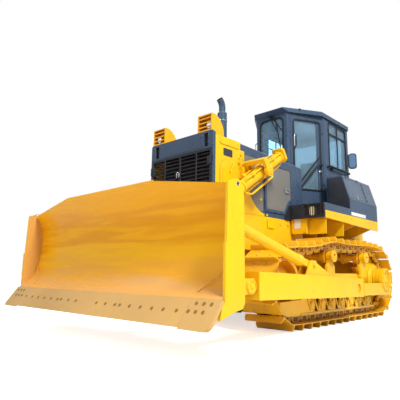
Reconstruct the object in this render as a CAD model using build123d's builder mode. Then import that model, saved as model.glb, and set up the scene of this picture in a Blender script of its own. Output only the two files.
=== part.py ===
from build123d import *

import os
from math import atan2, cos, degrees, hypot, pi, radians, sin, sqrt, tan

# A crawler bulldozer of the 220 hp class, in millimetres. +Z is up, -Y is the front, +X is
# the machine's left, and the ground lies at Z = 0 under the middle of the overall length.
os.makedirs("parts", exist_ok=True)

# ---- Overall layout -------------------------------------------------------------------
TRACK_GAUGE = 2000.0          # between the centre lines of the two tracks
SPROCKET_Y = 2070.0           # axle of the sprockets
WHEELBASE = 2720.0            # nominal distance from the sprocket's axle to the idler's
GUARD_FRONT_Y = -1460.0       # front face of the radiator guard
GUARD_HALF_WIDTH = 605.0
CAB_FRONT_Y = 735.0
FENDER_FRONT_Y = 320.0
DECK_TOP = 1722.0             # of the deck on the fenders
RUNNING_CLEARANCE = 0.3       # between surfaces that run or seat on each other
MOVING_CLEARANCE = 6.0        # between a moving piece and what it passes
KNUCKLE_RADIUS = 14.0         # of the doors' hinges
KNUCKLE_LENGTH = 110.0


def write(part, name):
    """Label one finished piece and write its STEP file."""
    part.label = name
    export_step(part, f"parts/{name}.step")


def write_pair(part, name):
    """Write the left-hand piece and its mirror image on the right."""
    write(part, f"{name}_left")
    write(mirror(part, about=Plane.YZ), f"{name}_right")


def both_sides(part):
    """The left-hand piece and its mirror image, as the separate solids of one node."""
    return Part() + [part, mirror(part, about=Plane.YZ)]


def slab(plan, bottom, top):
    """A plate or block given by the outline of its plan and its two heights."""
    with BuildPart() as block:
        with BuildSketch(Plane.XY.offset(bottom)):
            with BuildLine():
                Polyline(*plan, close=True)
            make_face()
        extrude(amount=top - bottom)
    return block.part


# ---- Track chain ----------------------------------------------------------------------
LINK_PITCH = 216.0
SPROCKET_TEETH = 27           # a bushing lies in every second gap
SHOE_WIDTH = 560.0
SHOE_THICKNESS = 12.0
SHOE_GAP = 8.0                # between one shoe plate and the next
GROUSER_HEIGHT = 72.0
GROUSER_ROOT = 26.0
GROUSER_TIP = 14.0
RAIL_TO_SHOE = 50.0           # from the pins' centre line out to the shoe plate
RAIL_TO_TREAD = 58.0          # from the pins' centre line in to the face that rollers run on
RAIL_THICKNESS = 44.0
RAIL_SPACING = 190.0          # between the centre lines of a chain's two rails
RAIL_NOTCH = 18.0             # depth of the gap in the tread at each pin
BUSHING_RADIUS = 33.0
IDLER_PITCH_RADIUS = 417.0    # centre of the idler to the pins
CARRIER_RADIUS = 84.0
CARRIER_Y = (420.0, 1550.0)
CARRIER_HEIGHT = 962.0        # of the carrier rollers' axles
FRONT_SAG = 38.0              # of the upper run, idler to first carrier roller
MIDDLE_SAG = 26.0
REAR_SAG = 4.0

pin_height = GROUSER_HEIGHT + SHOE_THICKNESS + RAIL_TO_SHOE
link_angle = 4 * pi / SPROCKET_TEETH
sprocket_pitch_radius = LINK_PITCH / (2 * sin(link_angle / 2))
sprocket_z = pin_height + sprocket_pitch_radius
idler_z = pin_height + IDLER_PITCH_RADIUS
track_x = TRACK_GAUGE / 2


def pitch_line(idler_y):
    """Closely spaced points along the chain's pins: round the sprocket from its underside,
    forwards over the carrier rollers, down round the idler and back along the ground."""
    steps = 60
    points = []
    for i in range(steps + 1):
        angle = radians(-90 + 180 * i / steps)
        points.append(
            (
                SPROCKET_Y + sprocket_pitch_radius * cos(angle),
                sprocket_z + sprocket_pitch_radius * sin(angle),
            )
        )
    carrier_top = CARRIER_HEIGHT + CARRIER_RADIUS + RAIL_TO_TREAD
    supports = [
        (SPROCKET_Y, sprocket_z + sprocket_pitch_radius, REAR_SAG),
        (CARRIER_Y[1], carrier_top, MIDDLE_SAG),
        (CARRIER_Y[0], carrier_top, FRONT_SAG),
        (idler_y, idler_z + IDLER_PITCH_RADIUS, 0),
    ]
    for (y0, z0, sag), (y1, z1, _) in zip(supports, supports[1:]):
        for i in range(1, steps + 1):
            t = i / steps
            points.append((y0 + (y1 - y0) * t, z0 + (z1 - z0) * t - 4 * sag * t * (1 - t)))
    for i in range(1, steps + 1):
        angle = radians(90 + 180 * i / steps)
        points.append(
            (
                idler_y + IDLER_PITCH_RADIUS * cos(angle),
                idler_z + IDLER_PITCH_RADIUS * sin(angle),
            )
        )
    points.append((SPROCKET_Y, pin_height))
    return points


def pins_along(points, pitch):
    """Step along the line in chords of one pitch, and say how far the last one overshoots."""
    pins = [points[0]]
    for start, end in zip(points, points[1:]):
        while hypot(end[0] - pins[-1][0], end[1] - pins[-1][1]) >= pitch:
            low, high = 0.0, 1.0
            for _ in range(40):
                middle = (low + high) / 2
                y = start[0] + (end[0] - start[0]) * middle
                z = start[1] + (end[1] - start[1]) * middle
                if hypot(y - pins[-1][0], z - pins[-1][1]) < pitch:
                    low = middle
                else:
                    high = middle
            pins.append((y, z))
            start = (y, z)
    left_over = hypot(points[-1][0] - pins[-1][0], points[-1][1] - pins[-1][1])
    return pins, left_over


# The recoil gear moves the idler until the chain closes on a whole number of links.
nominal_pins, nominal_rest = pins_along(pitch_line(SPROCKET_Y - WHEELBASE), LINK_PITCH)
link_count = len(nominal_pins) - 1 + round(nominal_rest / LINK_PITCH)
near, far = SPROCKET_Y - WHEELBASE + LINK_PITCH / 2, SPROCKET_Y - WHEELBASE - LINK_PITCH / 2
for _ in range(40):
    idler_y = (near + far) / 2
    pins, rest = pins_along(pitch_line(idler_y), LINK_PITCH)
    if (len(pins) - 1) * LINK_PITCH + rest < link_count * LINK_PITCH:
        near = idler_y
    else:
        far = idler_y
pins = pins[:link_count]
print("links", link_count, "idler", round(idler_y, 1))


def link_point(index, along, out):
    """A point given from a link's middle: along the link, and out towards its shoe."""
    (y0, z0), (y1, z1) = pins[index], pins[(index + 1) % link_count]
    length = hypot(y1 - y0, z1 - z0)
    uy, uz = (y1 - y0) / length, (z1 - z0) / length
    return ((y0 + y1) / 2 + uy * along + uz * out, (z0 + z1) / 2 + uz * along - uy * out)


def crossing(a, b, c, d):
    """Where the line through a and b meets the line through c and d."""
    det = (a[0] - b[0]) * (c[1] - d[1]) - (a[1] - b[1]) * (c[0] - d[0])
    first = a[0] * b[1] - a[1] * b[0]
    second = c[0] * d[1] - c[1] * d[0]
    return (
        (first * (c[0] - d[0]) - (a[0] - b[0]) * second) / det,
        (first * (c[1] - d[1]) - (a[1] - b[1]) * second) / det,
    )


def offset_outline(outline, amount):
    """The outline with every side moved in by the amount (out if it is negative)."""
    moved = []
    for a, b in zip(outline, outline[1:] + outline[:1]):
        length = hypot(b[0] - a[0], b[1] - a[1])
        nx, ny = -(b[1] - a[1]) / length * amount, (b[0] - a[0]) / length * amount
        moved.append(((a[0] + nx, a[1] + ny), (b[0] + nx, b[1] + ny)))
    return [crossing(*moved[i - 1], *moved[i]) for i in range(len(moved))]


rail_outside, rail_inside = [], []
half = LINK_PITCH / 2
notch_half = 17.0
for i in range(link_count):
    j = (i + 1) % link_count
    a, b = link_point(i, -half, RAIL_TO_SHOE), link_point(i, half, RAIL_TO_SHOE)
    c, d = link_point(j, -half, RAIL_TO_SHOE), link_point(j, half, RAIL_TO_SHOE)
    turn = abs((b[0] - a[0]) * (d[1] - c[1]) - (b[1] - a[1]) * (d[0] - c[0])) / LINK_PITCH**2
    rail_outside.append(crossing(a, b, c, d) if turn > 1e-4 else b)
    rail_inside.append(link_point(i, -half + notch_half, -RAIL_TO_TREAD))
    rail_inside.append(link_point(i, half - notch_half, -RAIL_TO_TREAD))
    rail_inside.append(link_point(i, half, RAIL_NOTCH - RAIL_TO_TREAD))

shoe_profile = [  # along the link, out from the pins' centre line
    (-half + SHOE_GAP / 2, RAIL_TO_SHOE),
    (half - SHOE_GAP / 2, RAIL_TO_SHOE),
    (half - SHOE_GAP / 2, RAIL_TO_SHOE + SHOE_THICKNESS),
    (-half + SHOE_GAP / 2 + GROUSER_ROOT, RAIL_TO_SHOE + SHOE_THICKNESS),
    (-half + SHOE_GAP / 2 + GROUSER_TIP, RAIL_TO_SHOE + SHOE_THICKNESS + GROUSER_HEIGHT),
    (-half + SHOE_GAP / 2, RAIL_TO_SHOE + SHOE_THICKNESS + GROUSER_HEIGHT),
]
shoe_plane = Plane.YZ.offset(track_x - SHOE_WIDTH / 2)
rail_inner_x = track_x - RAIL_SPACING / 2
rail_outer_x = track_x + RAIL_SPACING / 2
with BuildPart() as track:
    for centre in (rail_inner_x, rail_outer_x):
        with BuildSketch(Plane.YZ.offset(centre - RAIL_THICKNESS / 2)):
            with BuildLine():
                Polyline(*rail_outside, close=True)
            make_face()
            with BuildLine():
                Polyline(*rail_inside, close=True)
            make_face(mode=Mode.SUBTRACT)
        extrude(amount=RAIL_THICKNESS)
    with BuildSketch(shoe_plane):
        for i in range(link_count):
            with BuildLine():
                Polyline(*[link_point(i, *point) for point in shoe_profile], close=True)
            make_face()
    extrude(amount=SHOE_WIDTH)
    with BuildSketch(Plane.YZ.offset(rail_inner_x)):
        for y, z in pins:
            with Locations((y, z)):
                Circle(BUSHING_RADIUS)
    extrude(amount=RAIL_SPACING)
write_pair(track.part, "track")

# ---- Sprockets, idlers and rollers ----------------------------------------------------
SPROCKET_THICKNESS = 64.0
SPROCKET_BORE = 300.0
TOOTH_TIP = 26.0              # beyond the pitch circle
GAP_RADIUS = BUSHING_RADIUS + 1.5
GAP_FLARE = 18.0              # how much wider a gap's mouth is on each side

first_gap = degrees(atan2(pins[1][1] - sprocket_z, pins[1][0] - SPROCKET_Y))
with BuildPart() as sprocket:
    with BuildSketch(Plane.YZ.offset(track_x - SPROCKET_THICKNESS / 2)):
        with Locations((SPROCKET_Y, sprocket_z)):
            Circle(sprocket_pitch_radius + TOOTH_TIP)
            with PolarLocations(
                sprocket_pitch_radius, SPROCKET_TEETH, start_angle=first_gap
            ):
                Circle(GAP_RADIUS, mode=Mode.SUBTRACT)
                Polygon(
                    (0, -GAP_RADIUS),
                    (TOOTH_TIP + 10, -GAP_RADIUS - GAP_FLARE),
                    (TOOTH_TIP + 10, GAP_RADIUS + GAP_FLARE),
                    (0, GAP_RADIUS),
                    align=None,
                    mode=Mode.SUBTRACT,
                )
            Circle(SPROCKET_BORE, mode=Mode.SUBTRACT)
    extrude(amount=SPROCKET_THICKNESS)
write(both_sides(sprocket.part), "sprockets")

IDLER_WIDTH = 100.0           # of the rim between the two rails
IDLER_FLANGE = 18.0           # how far the middle rim stands above the tread
IDLER_TREAD_WIDTH = 236.0
AXLE_RADIUS = 42.0

link_apothem = sqrt(IDLER_PITCH_RADIUS**2 - (LINK_PITCH / 2) ** 2)
idler_radius = link_apothem - RAIL_TO_TREAD - RUNNING_CLEARANCE
with BuildPart() as idler:
    with BuildSketch(Plane.XZ.offset(-idler_y)):
        with BuildLine():
            Polyline(
                (track_x - 120, idler_z + AXLE_RADIUS),
                (track_x + 120, idler_z + AXLE_RADIUS),
                (track_x + 120, idler_z + 95),
                (track_x + 40, idler_z + 120),
                (track_x + 22, idler_z + 260),
                (track_x + IDLER_TREAD_WIDTH / 2, idler_z + idler_radius - 46),
                (track_x + IDLER_TREAD_WIDTH / 2, idler_z + idler_radius),
                (track_x + IDLER_WIDTH / 2, idler_z + idler_radius),
                (track_x + IDLER_WIDTH / 2, idler_z + idler_radius + IDLER_FLANGE),
                (track_x - IDLER_WIDTH / 2, idler_z + idler_radius + IDLER_FLANGE),
                (track_x - IDLER_WIDTH / 2, idler_z + idler_radius),
                (track_x - IDLER_TREAD_WIDTH / 2, idler_z + idler_radius),
                (track_x - IDLER_TREAD_WIDTH / 2, idler_z + idler_radius - 46),
                (track_x - 22, idler_z + 260),
                (track_x - 40, idler_z + 120),
                (track_x - 120, idler_z + 95),
                close=True,
            )
        make_face()
    revolve(axis=Axis((0, idler_y, idler_z), (1, 0, 0)))
write(both_sides(idler.part), "idlers")

ROLLER_COUNT = 7
ROLLER_RADIUS = 98.0
ROLLER_FLANGE = 20.0
ROLLER_LENGTH = 300.0
ROLLER_SHAFT_LENGTH = 380.0
tread_z = pin_height + RAIL_TO_TREAD
roller_z = tread_z + ROLLER_RADIUS + RUNNING_CLEARANCE
roller_span = SPROCKET_Y - idler_y - 2 * 470
roller_ys = [idler_y + 470 + roller_span * i / (ROLLER_COUNT - 1) for i in range(ROLLER_COUNT)]
rail_half = RAIL_SPACING / 2 + RAIL_THICKNESS / 2


def roller(y, z, tread, shaft_length, shaft_radius):
    """A two-flange roller on its shaft, round a line along X through y and z."""
    inner = RAIL_SPACING / 2 - RAIL_THICKNESS / 2 - 6
    with BuildPart() as spool:
        with BuildSketch(Plane.XZ.offset(-y)):
            with BuildLine():
                Polyline(
                    (track_x - shaft_length / 2, z),
                    (track_x - shaft_length / 2, z + shaft_radius),
                    (track_x - ROLLER_LENGTH / 2, z + shaft_radius),
                    (track_x - ROLLER_LENGTH / 2, z + tread + ROLLER_FLANGE),
                    (track_x - rail_half - 6, z + tread + ROLLER_FLANGE),
                    (track_x - rail_half - 6, z + tread),
                    (track_x - inner, z + tread),
                    (track_x - inner, z + tread - 30),
                    (track_x + inner, z + tread - 30),
                    (track_x + inner, z + tread),
                    (track_x + rail_half + 6, z + tread),
                    (track_x + rail_half + 6, z + tread + ROLLER_FLANGE),
                    (track_x + ROLLER_LENGTH / 2, z + tread + ROLLER_FLANGE),
                    (track_x + ROLLER_LENGTH / 2, z + shaft_radius),
                    (track_x + shaft_length / 2, z + shaft_radius),
                    (track_x + shaft_length / 2, z),
                    close=True,
                )
            make_face()
        revolve(axis=Axis((0, y, z), (1, 0, 0)))
    return spool.part


track_rollers = Part() + [
    roller(y, roller_z, ROLLER_RADIUS, ROLLER_SHAFT_LENGTH, 40) for y in roller_ys
]
write(both_sides(track_rollers), "track_rollers")


def clearance_below_rail(y, radius):
    """Height of a carrier roller's axle that just clears every link above it."""
    lowest = 1e9
    for index in range(link_count):
        (y0, z0), (y1, z1) = pins[index], pins[(index + 1) % link_count]
        if z0 < sprocket_z or abs((y0 + y1) / 2 - y) > 2 * LINK_PITCH:
            continue
        slope = (z1 - z0) / (y1 - y0)
        rise = (RAIL_TO_TREAD + radius + RUNNING_CLEARANCE) * sqrt(1 + slope**2)
        lowest = min(lowest, z0 + slope * (y - y0) - rise)
    return lowest


carrier_zs = [clearance_below_rail(y, CARRIER_RADIUS) for y in CARRIER_Y]
carriers = Part() + [
    roller(y, z, CARRIER_RADIUS, 330, 36) for y, z in zip(CARRIER_Y, carrier_zs)
]
write(both_sides(carriers), "carrier_rollers")

# ---- Track frames ---------------------------------------------------------------------
BEAM_HALF_WIDTH = 150.0
BEAM_BOTTOM = 424.0
BEAM_TOP = 700.0
BEAM_REAR_Y = SPROCKET_Y - 560
GUARD_PLATE = 22.0
GUARD_BOTTOM_Z = 170.0        # of the track rollers' guards
ARM_PIVOT_Y = 480.0
ARM_PIVOT_Z = 500.0
TRUNNION_RADIUS = 62.0
ARM_INNER_X = 1360.0
ARM_OUTER_X = 1580.0
SUPPORT_RING_X = 1365.0       # outer face of the ring that carries the sprocket's shaft
SUPPORT_RING_RADIUS = 192.0
SHAFT_END_RADIUS = 120.0      # of the final drive where it passes through the ring

with BuildPart() as track_frame:
    # the closed box beam, with its sloping front end
    with BuildSketch(Plane.YZ.offset(track_x - BEAM_HALF_WIDTH)):
        with BuildLine():
            Polyline(
                (idler_y + 400, BEAM_BOTTOM),
                (BEAM_REAR_Y, BEAM_BOTTOM),
                (BEAM_REAR_Y, BEAM_TOP - 60),
                (BEAM_REAR_Y - 120, BEAM_TOP),
                (idler_y + 520, BEAM_TOP),
                (idler_y + 400, BEAM_TOP - 70),
                close=True,
            )
        make_face()
    extrude(amount=2 * BEAM_HALF_WIDTH)
    # the fork arms that hold the idler's axle
    for x in (track_x - 168, track_x + 128):
        with BuildSketch(Plane.YZ.offset(x)):
            with BuildLine():
                Polyline(
                    (idler_y - 70, idler_z - 70),
                    (idler_y + 560, BEAM_BOTTOM),
                    (idler_y + 560, BEAM_TOP - 40),
                    (idler_y + 60, idler_z + 120),
                    (idler_y - 70, idler_z + 80),
                    close=True,
                )
            make_face()
        extrude(amount=40)
    with Locations(Plane.YZ.offset(track_x - 168)):
        with Locations((idler_y, idler_z)):
            Cylinder(AXLE_RADIUS - 0.5, 336, align=(Align.CENTER, Align.CENTER, Align.MIN))
    # guard plates that carry the ends of the track rollers' shafts, with windows between the
    # rollers and a nose that guides the chain off the idler
    for x in (track_x - ROLLER_SHAFT_LENGTH / 2 - GUARD_PLATE, track_x + ROLLER_SHAFT_LENGTH / 2):
        with BuildSketch(Plane.YZ.offset(x)):
            with BuildLine():
                Polyline(
                    (idler_y - 285, idler_z - 198),
                    (idler_y - 245, idler_z - 334),
                    (idler_y - 128, GUARD_BOTTOM_Z + 8),
                    (roller_ys[0] - 200, GUARD_BOTTOM_Z),
                    (roller_ys[-1] + 90, GUARD_BOTTOM_Z),
                    (roller_ys[-1] + 120, GUARD_BOTTOM_Z + 60),
                    (roller_ys[-1] + 120, BEAM_BOTTOM + 40),
                    (roller_ys[0] - 160, BEAM_BOTTOM + 40),
                    (roller_ys[0] - 260, BEAM_BOTTOM - 60),
                    close=True,
                )
            make_face()
            for before, after in zip(roller_ys, roller_ys[1:]):
                middle = (before + after) / 2
                with BuildLine():
                    Polyline(
                        (middle - 76, GUARD_BOTTOM_Z + 34),
                        (middle + 34, GUARD_BOTTOM_Z + 34),
                        (middle + 76, BEAM_BOTTOM - 34),
                        (middle - 34, BEAM_BOTTOM - 34),
                        close=True,
                    )
                make_face(mode=Mode.SUBTRACT)
        extrude(amount=GUARD_PLATE)
    # the bosses on the guard plates over the ends of the rollers' shafts
    with BuildSketch(Plane.YZ.offset(track_x + ROLLER_SHAFT_LENGTH / 2 + GUARD_PLATE - 1)):
        for y in roller_ys:
            with Locations((y, roller_z)):
                Circle(52)
    extrude(amount=19)
    for side in (1, -1):
        with Locations((track_x + side * 180, idler_y + 120, idler_z - 150)):
            Box(26, 220, 90)
    for x, side in ((track_x - 190, 1), (track_x + 190, -1)):
        with Locations((x + side * 20, (roller_ys[0] + roller_ys[-1]) / 2, BEAM_BOTTOM + 20)):
            Box(40, roller_ys[-1] - roller_ys[0] + 240, 40)
    # the trunnion that the push arm swings on
    with Locations(Plane.YZ.offset(track_x + BEAM_HALF_WIDTH)):
        with Locations((ARM_PIVOT_Y, ARM_PIVOT_Z)):
            Cylinder(
                TRUNNION_RADIUS,
                ARM_OUTER_X - 20 - track_x - BEAM_HALF_WIDTH,
                align=(Align.CENTER, Align.CENTER, Align.MIN),
            )
    # the posts of the carrier rollers, each with a round boss over the roller's shaft
    for y, z in zip(CARRIER_Y, carrier_zs):
        with BuildSketch(Plane.YZ.offset(track_x + 165)):
            with BuildLine():
                Polyline(
                    (y - 118, BEAM_TOP - 60),
                    (y + 118, BEAM_TOP - 60),
                    (y + 112, z - 140),
                    (y + 62, z - 96),
                    (y + 50, z),
                    (y - 50, z),
                    (y - 62, z - 96),
                    (y - 112, z - 140),
                    close=True,
                )
            make_face()
        extrude(amount=40)
        with BuildSketch(Plane.YZ.offset(track_x + 165)):
            with Locations((y, z)):
                Circle(74)
        extrude(amount=84)
        with BuildSketch(Plane.YZ.offset(track_x + 165 + 76)):
            with Locations((y, z)):
                Circle(86)
        extrude(amount=22)
        with Locations((track_x + 172, y, BEAM_TOP - 40)):
            Box(66, 236, 40)
        # the web that stays the post on the beam
        with BuildSketch(Plane.XZ.offset(-y)):
            with BuildLine():
                Polyline(
                    (track_x + 60, BEAM_TOP - 10),
                    (track_x + 180, BEAM_TOP - 10),
                    (track_x + 180, z - 120),
                    close=True,
                )
            make_face()
        extrude(amount=-24)
    # the outer support of the sprocket's shaft
    with BuildSketch(Plane.YZ.offset(SUPPORT_RING_X - 50)):
        with BuildLine():
            Polyline(
                (BEAM_REAR_Y - 340, 372),
                (SPROCKET_Y + 167, 356),
                (SPROCKET_Y + 246, 530),
                (SPROCKET_Y + 238, 546),
                (BEAM_REAR_Y - 340, 556),
                close=True,
            )
        make_face()
        with Locations((SPROCKET_Y, sprocket_z)):
            Circle(SUPPORT_RING_RADIUS)
            Circle(SHAFT_END_RADIUS + 1, mode=Mode.SUBTRACT)
    extrude(amount=50)
    with BuildSketch(Plane.YZ.offset(SUPPORT_RING_X - 1)):
        with Locations((SPROCKET_Y, sprocket_z)):
            Circle(SUPPORT_RING_RADIUS)
            Circle(SUPPORT_RING_RADIUS - 42, mode=Mode.SUBTRACT)
    extrude(amount=15)
    with Locations((track_x + 230, BEAM_REAR_Y - 170, 495)):
        Box(180, 340, 110)
write_pair(track_frame.part, "track_frame")

# ---- Hull, final drives and the shafts between the track frames -----------------------
HULL_HALF_WIDTH = 455.0
HULL_BOTTOM = 410.0
HULL_FRONT_Y = -1330.0
HULL_REAR_Y = 2560.0
HULL_TOP = 1180.0
RIPPER_BOLT_X = 640.0
RIPPER_BOLT_SPACING_Z = 360.0
RIPPER_BOLT_Z = 900.0
RIPPER_BOLT_RADIUS = 15.0

with BuildPart() as main_frame:
    with BuildSketch(Plane.YZ.offset(-HULL_HALF_WIDTH)):
        with BuildLine():
            Polyline(
                (HULL_FRONT_Y, 700),
                (HULL_FRONT_Y + 320, HULL_BOTTOM),
                (HULL_REAR_Y - 260, HULL_BOTTOM),
                (HULL_REAR_Y, 620),
                (HULL_REAR_Y, HULL_TOP),
                (HULL_FRONT_Y, HULL_TOP),
                close=True,
            )
        make_face()
    extrude(amount=2 * HULL_HALF_WIDTH)
    # tapped pads for a ripper's bracket on the rear face
    with BuildSketch(Plane.XZ.offset(-HULL_REAR_Y)):
        with Locations((0, RIPPER_BOLT_Z)):
            with GridLocations(RIPPER_BOLT_X, RIPPER_BOLT_SPACING_Z, 2, 2):
                Circle(RIPPER_BOLT_RADIUS)
    extrude(amount=80, mode=Mode.SUBTRACT)
write(main_frame.part, "main_frame")

with BuildPart() as final_drive:
    with BuildSketch(Plane.XZ.offset(-SPROCKET_Y)):
        with BuildLine():
            Polyline(
                (HULL_HALF_WIDTH, sprocket_z),
                (HULL_HALF_WIDTH, sprocket_z + 330),
                (HULL_HALF_WIDTH + 120, sprocket_z + 330),
                (track_x - 90, sprocket_z + 280),
                (track_x - 45, sprocket_z + SPROCKET_BORE - RUNNING_CLEARANCE),
                (track_x + 45, sprocket_z + SPROCKET_BORE - RUNNING_CLEARANCE),
                (track_x + 66, sprocket_z + 288),
                (track_x + 140, sprocket_z + 266),
                (track_x + 186, sprocket_z + 232),
                (track_x + 204, sprocket_z + 186),
                (SUPPORT_RING_X - 52, sprocket_z + 182),
                (SUPPORT_RING_X - 52, sprocket_z + SHAFT_END_RADIUS),
                (SUPPORT_RING_X - 8, sprocket_z + SHAFT_END_RADIUS),
                (SUPPORT_RING_X - 8, sprocket_z + 64),
                (SUPPORT_RING_X + 6, sprocket_z + 50),
                (SUPPORT_RING_X + 6, sprocket_z),
                close=True,
            )
        make_face()
    revolve(axis=Axis((0, SPROCKET_Y, sprocket_z), (1, 0, 0)))
write(both_sides(final_drive.part), "final_drives")

with BuildPart() as cross_shafts:
    # the pivot shaft at the rear and the equaliser bar under the engine
    with Locations(Plane.YZ.offset(HULL_HALF_WIDTH)):
        with Locations((SPROCKET_Y - 720, 560)):
            Cylinder(
                80,
                track_x - BEAM_HALF_WIDTH - HULL_HALF_WIDTH,
                align=(Align.CENTER, Align.CENTER, Align.MIN),
            )
    with Locations(((HULL_HALF_WIDTH + track_x - 168) / 2, -150, 560)):
        Box(track_x - 168 - HULL_HALF_WIDTH, 150, 110)
write(both_sides(cross_shafts.part), "cross_shafts")

# ---- Radiator guard, hood and engine --------------------------------------------------
GUARD_TOP = 2448.0
FRAME_TOP = 2500.0            # of the grille's frame, which stands above the hood
FRAME_DEPTH = 48.0
GUARD_DEPTH = 635.0
GUARD_BOTTOM = 1000.0
GUARD_WALL = 30.0
GUARD_TAIL_Y = -365.0         # where the guard's curved tail meets the hull
GRILLE_BOTTOM = 1180.0
GRILLE_TOP = 2265.0
GRILLE_HALF_WIDTH = 580.0
GRILLE_DEPTH = 34.0
DOOR_STILE = 24.0
SEAM_STILE = 10.0
LOUVRE_COUNT = 20
SLOT_X = 480.0                # middle of the upright slots beside the name band
SLOT_WIDTH = 72.0
SLOT_BOTTOM = 2290.0
SLOT_TOP = 2470.0
HOOD_TOP_FRONT = 2448.0
HOOD_TOP_REAR = 2402.0
HOOD_FRONT_Y = -912.0
HOOD_SKIRT_Z = 2340.0
HOOD_SIDE_X = 600.0
HOOD_SIDE_BOTTOM = 1490.0
HOOD_REAR_Y = CAB_FRONT_Y - 40
HOOD_SHEET = 14.0
PANEL = 20.0
DOOR_FRONT_Y = -350.0
DOOR_REAR_Y = 394.0
DOOR_BOTTOM = 1560.0
DOOR_TOP = 2326.0
DOOR_FRAME = 44.0
DOOR_MESH_SINK = 10.0         # of the perforated sheet below the door's frame
EXHAUST_Y = -600.0
EXHAUST_RADIUS = 74.0
PIPE_RADIUS = 51.0

guard_rear_y = GUARD_FRONT_Y + GUARD_DEPTH
guard_body_y = GUARD_FRONT_Y + FRAME_DEPTH

# the outline of the guard's side plates, with the curved tail down to the hull
with BuildSketch() as guard_side:
    with BuildLine():
        tail = ThreePointArc(
            (guard_rear_y + 105, 1834), (guard_rear_y + 195, 1672), (GUARD_TAIL_Y, 1521)
        )
        Polyline(
            tail @ 1,
            (GUARD_TAIL_Y, HOOD_SIDE_BOTTOM),
            (guard_rear_y, HOOD_SIDE_BOTTOM),
            (guard_rear_y, GUARD_BOTTOM),
            (guard_body_y + 130, GUARD_BOTTOM),
            (guard_body_y, GUARD_BOTTOM + 120),
            (guard_body_y, GUARD_TOP),
            (HOOD_FRONT_Y, GUARD_TOP),
            (HOOD_FRONT_Y, HOOD_SKIRT_Z),
            (guard_rear_y, HOOD_SKIRT_Z),
            (guard_rear_y, 2060),
            tail @ 0,
        )
    make_face()
with BuildPart() as radiator_guard:
    for x in (-GUARD_HALF_WIDTH, GUARD_HALF_WIDTH - GUARD_WALL):
        with BuildSketch(Plane.YZ.offset(x)):
            add(guard_side.sketch)
        extrude(amount=GUARD_WALL)
    # the top plate, the front frame behind the grille and the sill across the bottom
    with BuildSketch(Plane.YZ.offset(-GUARD_HALF_WIDTH + GUARD_WALL)):
        with BuildLine():
            Polyline(
                (guard_body_y, GUARD_TOP - 60),
                (guard_body_y, GUARD_TOP),
                (HOOD_FRONT_Y, GUARD_TOP),
                (HOOD_FRONT_Y, GUARD_TOP - 20),
                (guard_body_y + 60, GUARD_TOP - 20),
                (guard_body_y + 60, GUARD_TOP - 60),
                close=True,
            )
        make_face()
    extrude(amount=2 * (GUARD_HALF_WIDTH - GUARD_WALL))
    with Locations((0, guard_body_y + 15, HULL_TOP + 5)):
        Box(2 * (GUARD_HALF_WIDTH - GUARD_WALL), 30, 2 * (GRILLE_BOTTOM - HULL_TOP + 5))
    for side in (1, -1):
        with Locations(
            (
                side * (HULL_HALF_WIDTH + GUARD_HALF_WIDTH) / 2,
                guard_body_y + 75,
                (GUARD_BOTTOM + HULL_TOP) / 2,
            )
        ):
            Box(GUARD_HALF_WIDTH - HULL_HALF_WIDTH - 1, 30, HULL_TOP - GUARD_BOTTOM)
    with Locations((0, (guard_body_y + guard_rear_y) / 2, HULL_TOP / 2)):
        Box(2 * HULL_HALF_WIDTH + 1, 2 * GUARD_DEPTH, HULL_TOP, mode=Mode.SUBTRACT)
write(radiator_guard.part, "radiator_guard")

with BuildPart() as grille_frame:
    with BuildSketch(Plane.XZ.offset(-GUARD_FRONT_Y)):
        with BuildLine():
            Polyline(
                (-GUARD_HALF_WIDTH, GUARD_BOTTOM + 120),
                (GUARD_HALF_WIDTH, GUARD_BOTTOM + 120),
                (GUARD_HALF_WIDTH, FRAME_TOP - 20),
                (GUARD_HALF_WIDTH - 20, FRAME_TOP),
                (20 - GUARD_HALF_WIDTH, FRAME_TOP),
                (-GUARD_HALF_WIDTH, FRAME_TOP - 20),
                close=True,
            )
        make_face()
        with Locations((0, (GRILLE_BOTTOM + GRILLE_TOP) / 2)):
            Rectangle(2 * GRILLE_HALF_WIDTH, GRILLE_TOP - GRILLE_BOTTOM, mode=Mode.SUBTRACT)
        with Locations(
            (SLOT_X, (SLOT_BOTTOM + SLOT_TOP) / 2), (-SLOT_X, (SLOT_BOTTOM + SLOT_TOP) / 2)
        ):
            RectangleRounded(SLOT_WIDTH, SLOT_TOP - SLOT_BOTTOM, 12, mode=Mode.SUBTRACT)
    extrude(amount=-FRAME_DEPTH + RUNNING_CLEARANCE)
write(grille_frame.part, "grille_frame")

with BuildPart() as radiator_core:
    with Locations((0, GUARD_FRONT_Y + 300, (HULL_TOP + GUARD_TOP) / 2 - 30)):
        Box(2 * (GUARD_HALF_WIDTH - GUARD_WALL), 160, GUARD_TOP - HULL_TOP - 60)
write(radiator_core.part, "radiator_core")

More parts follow.
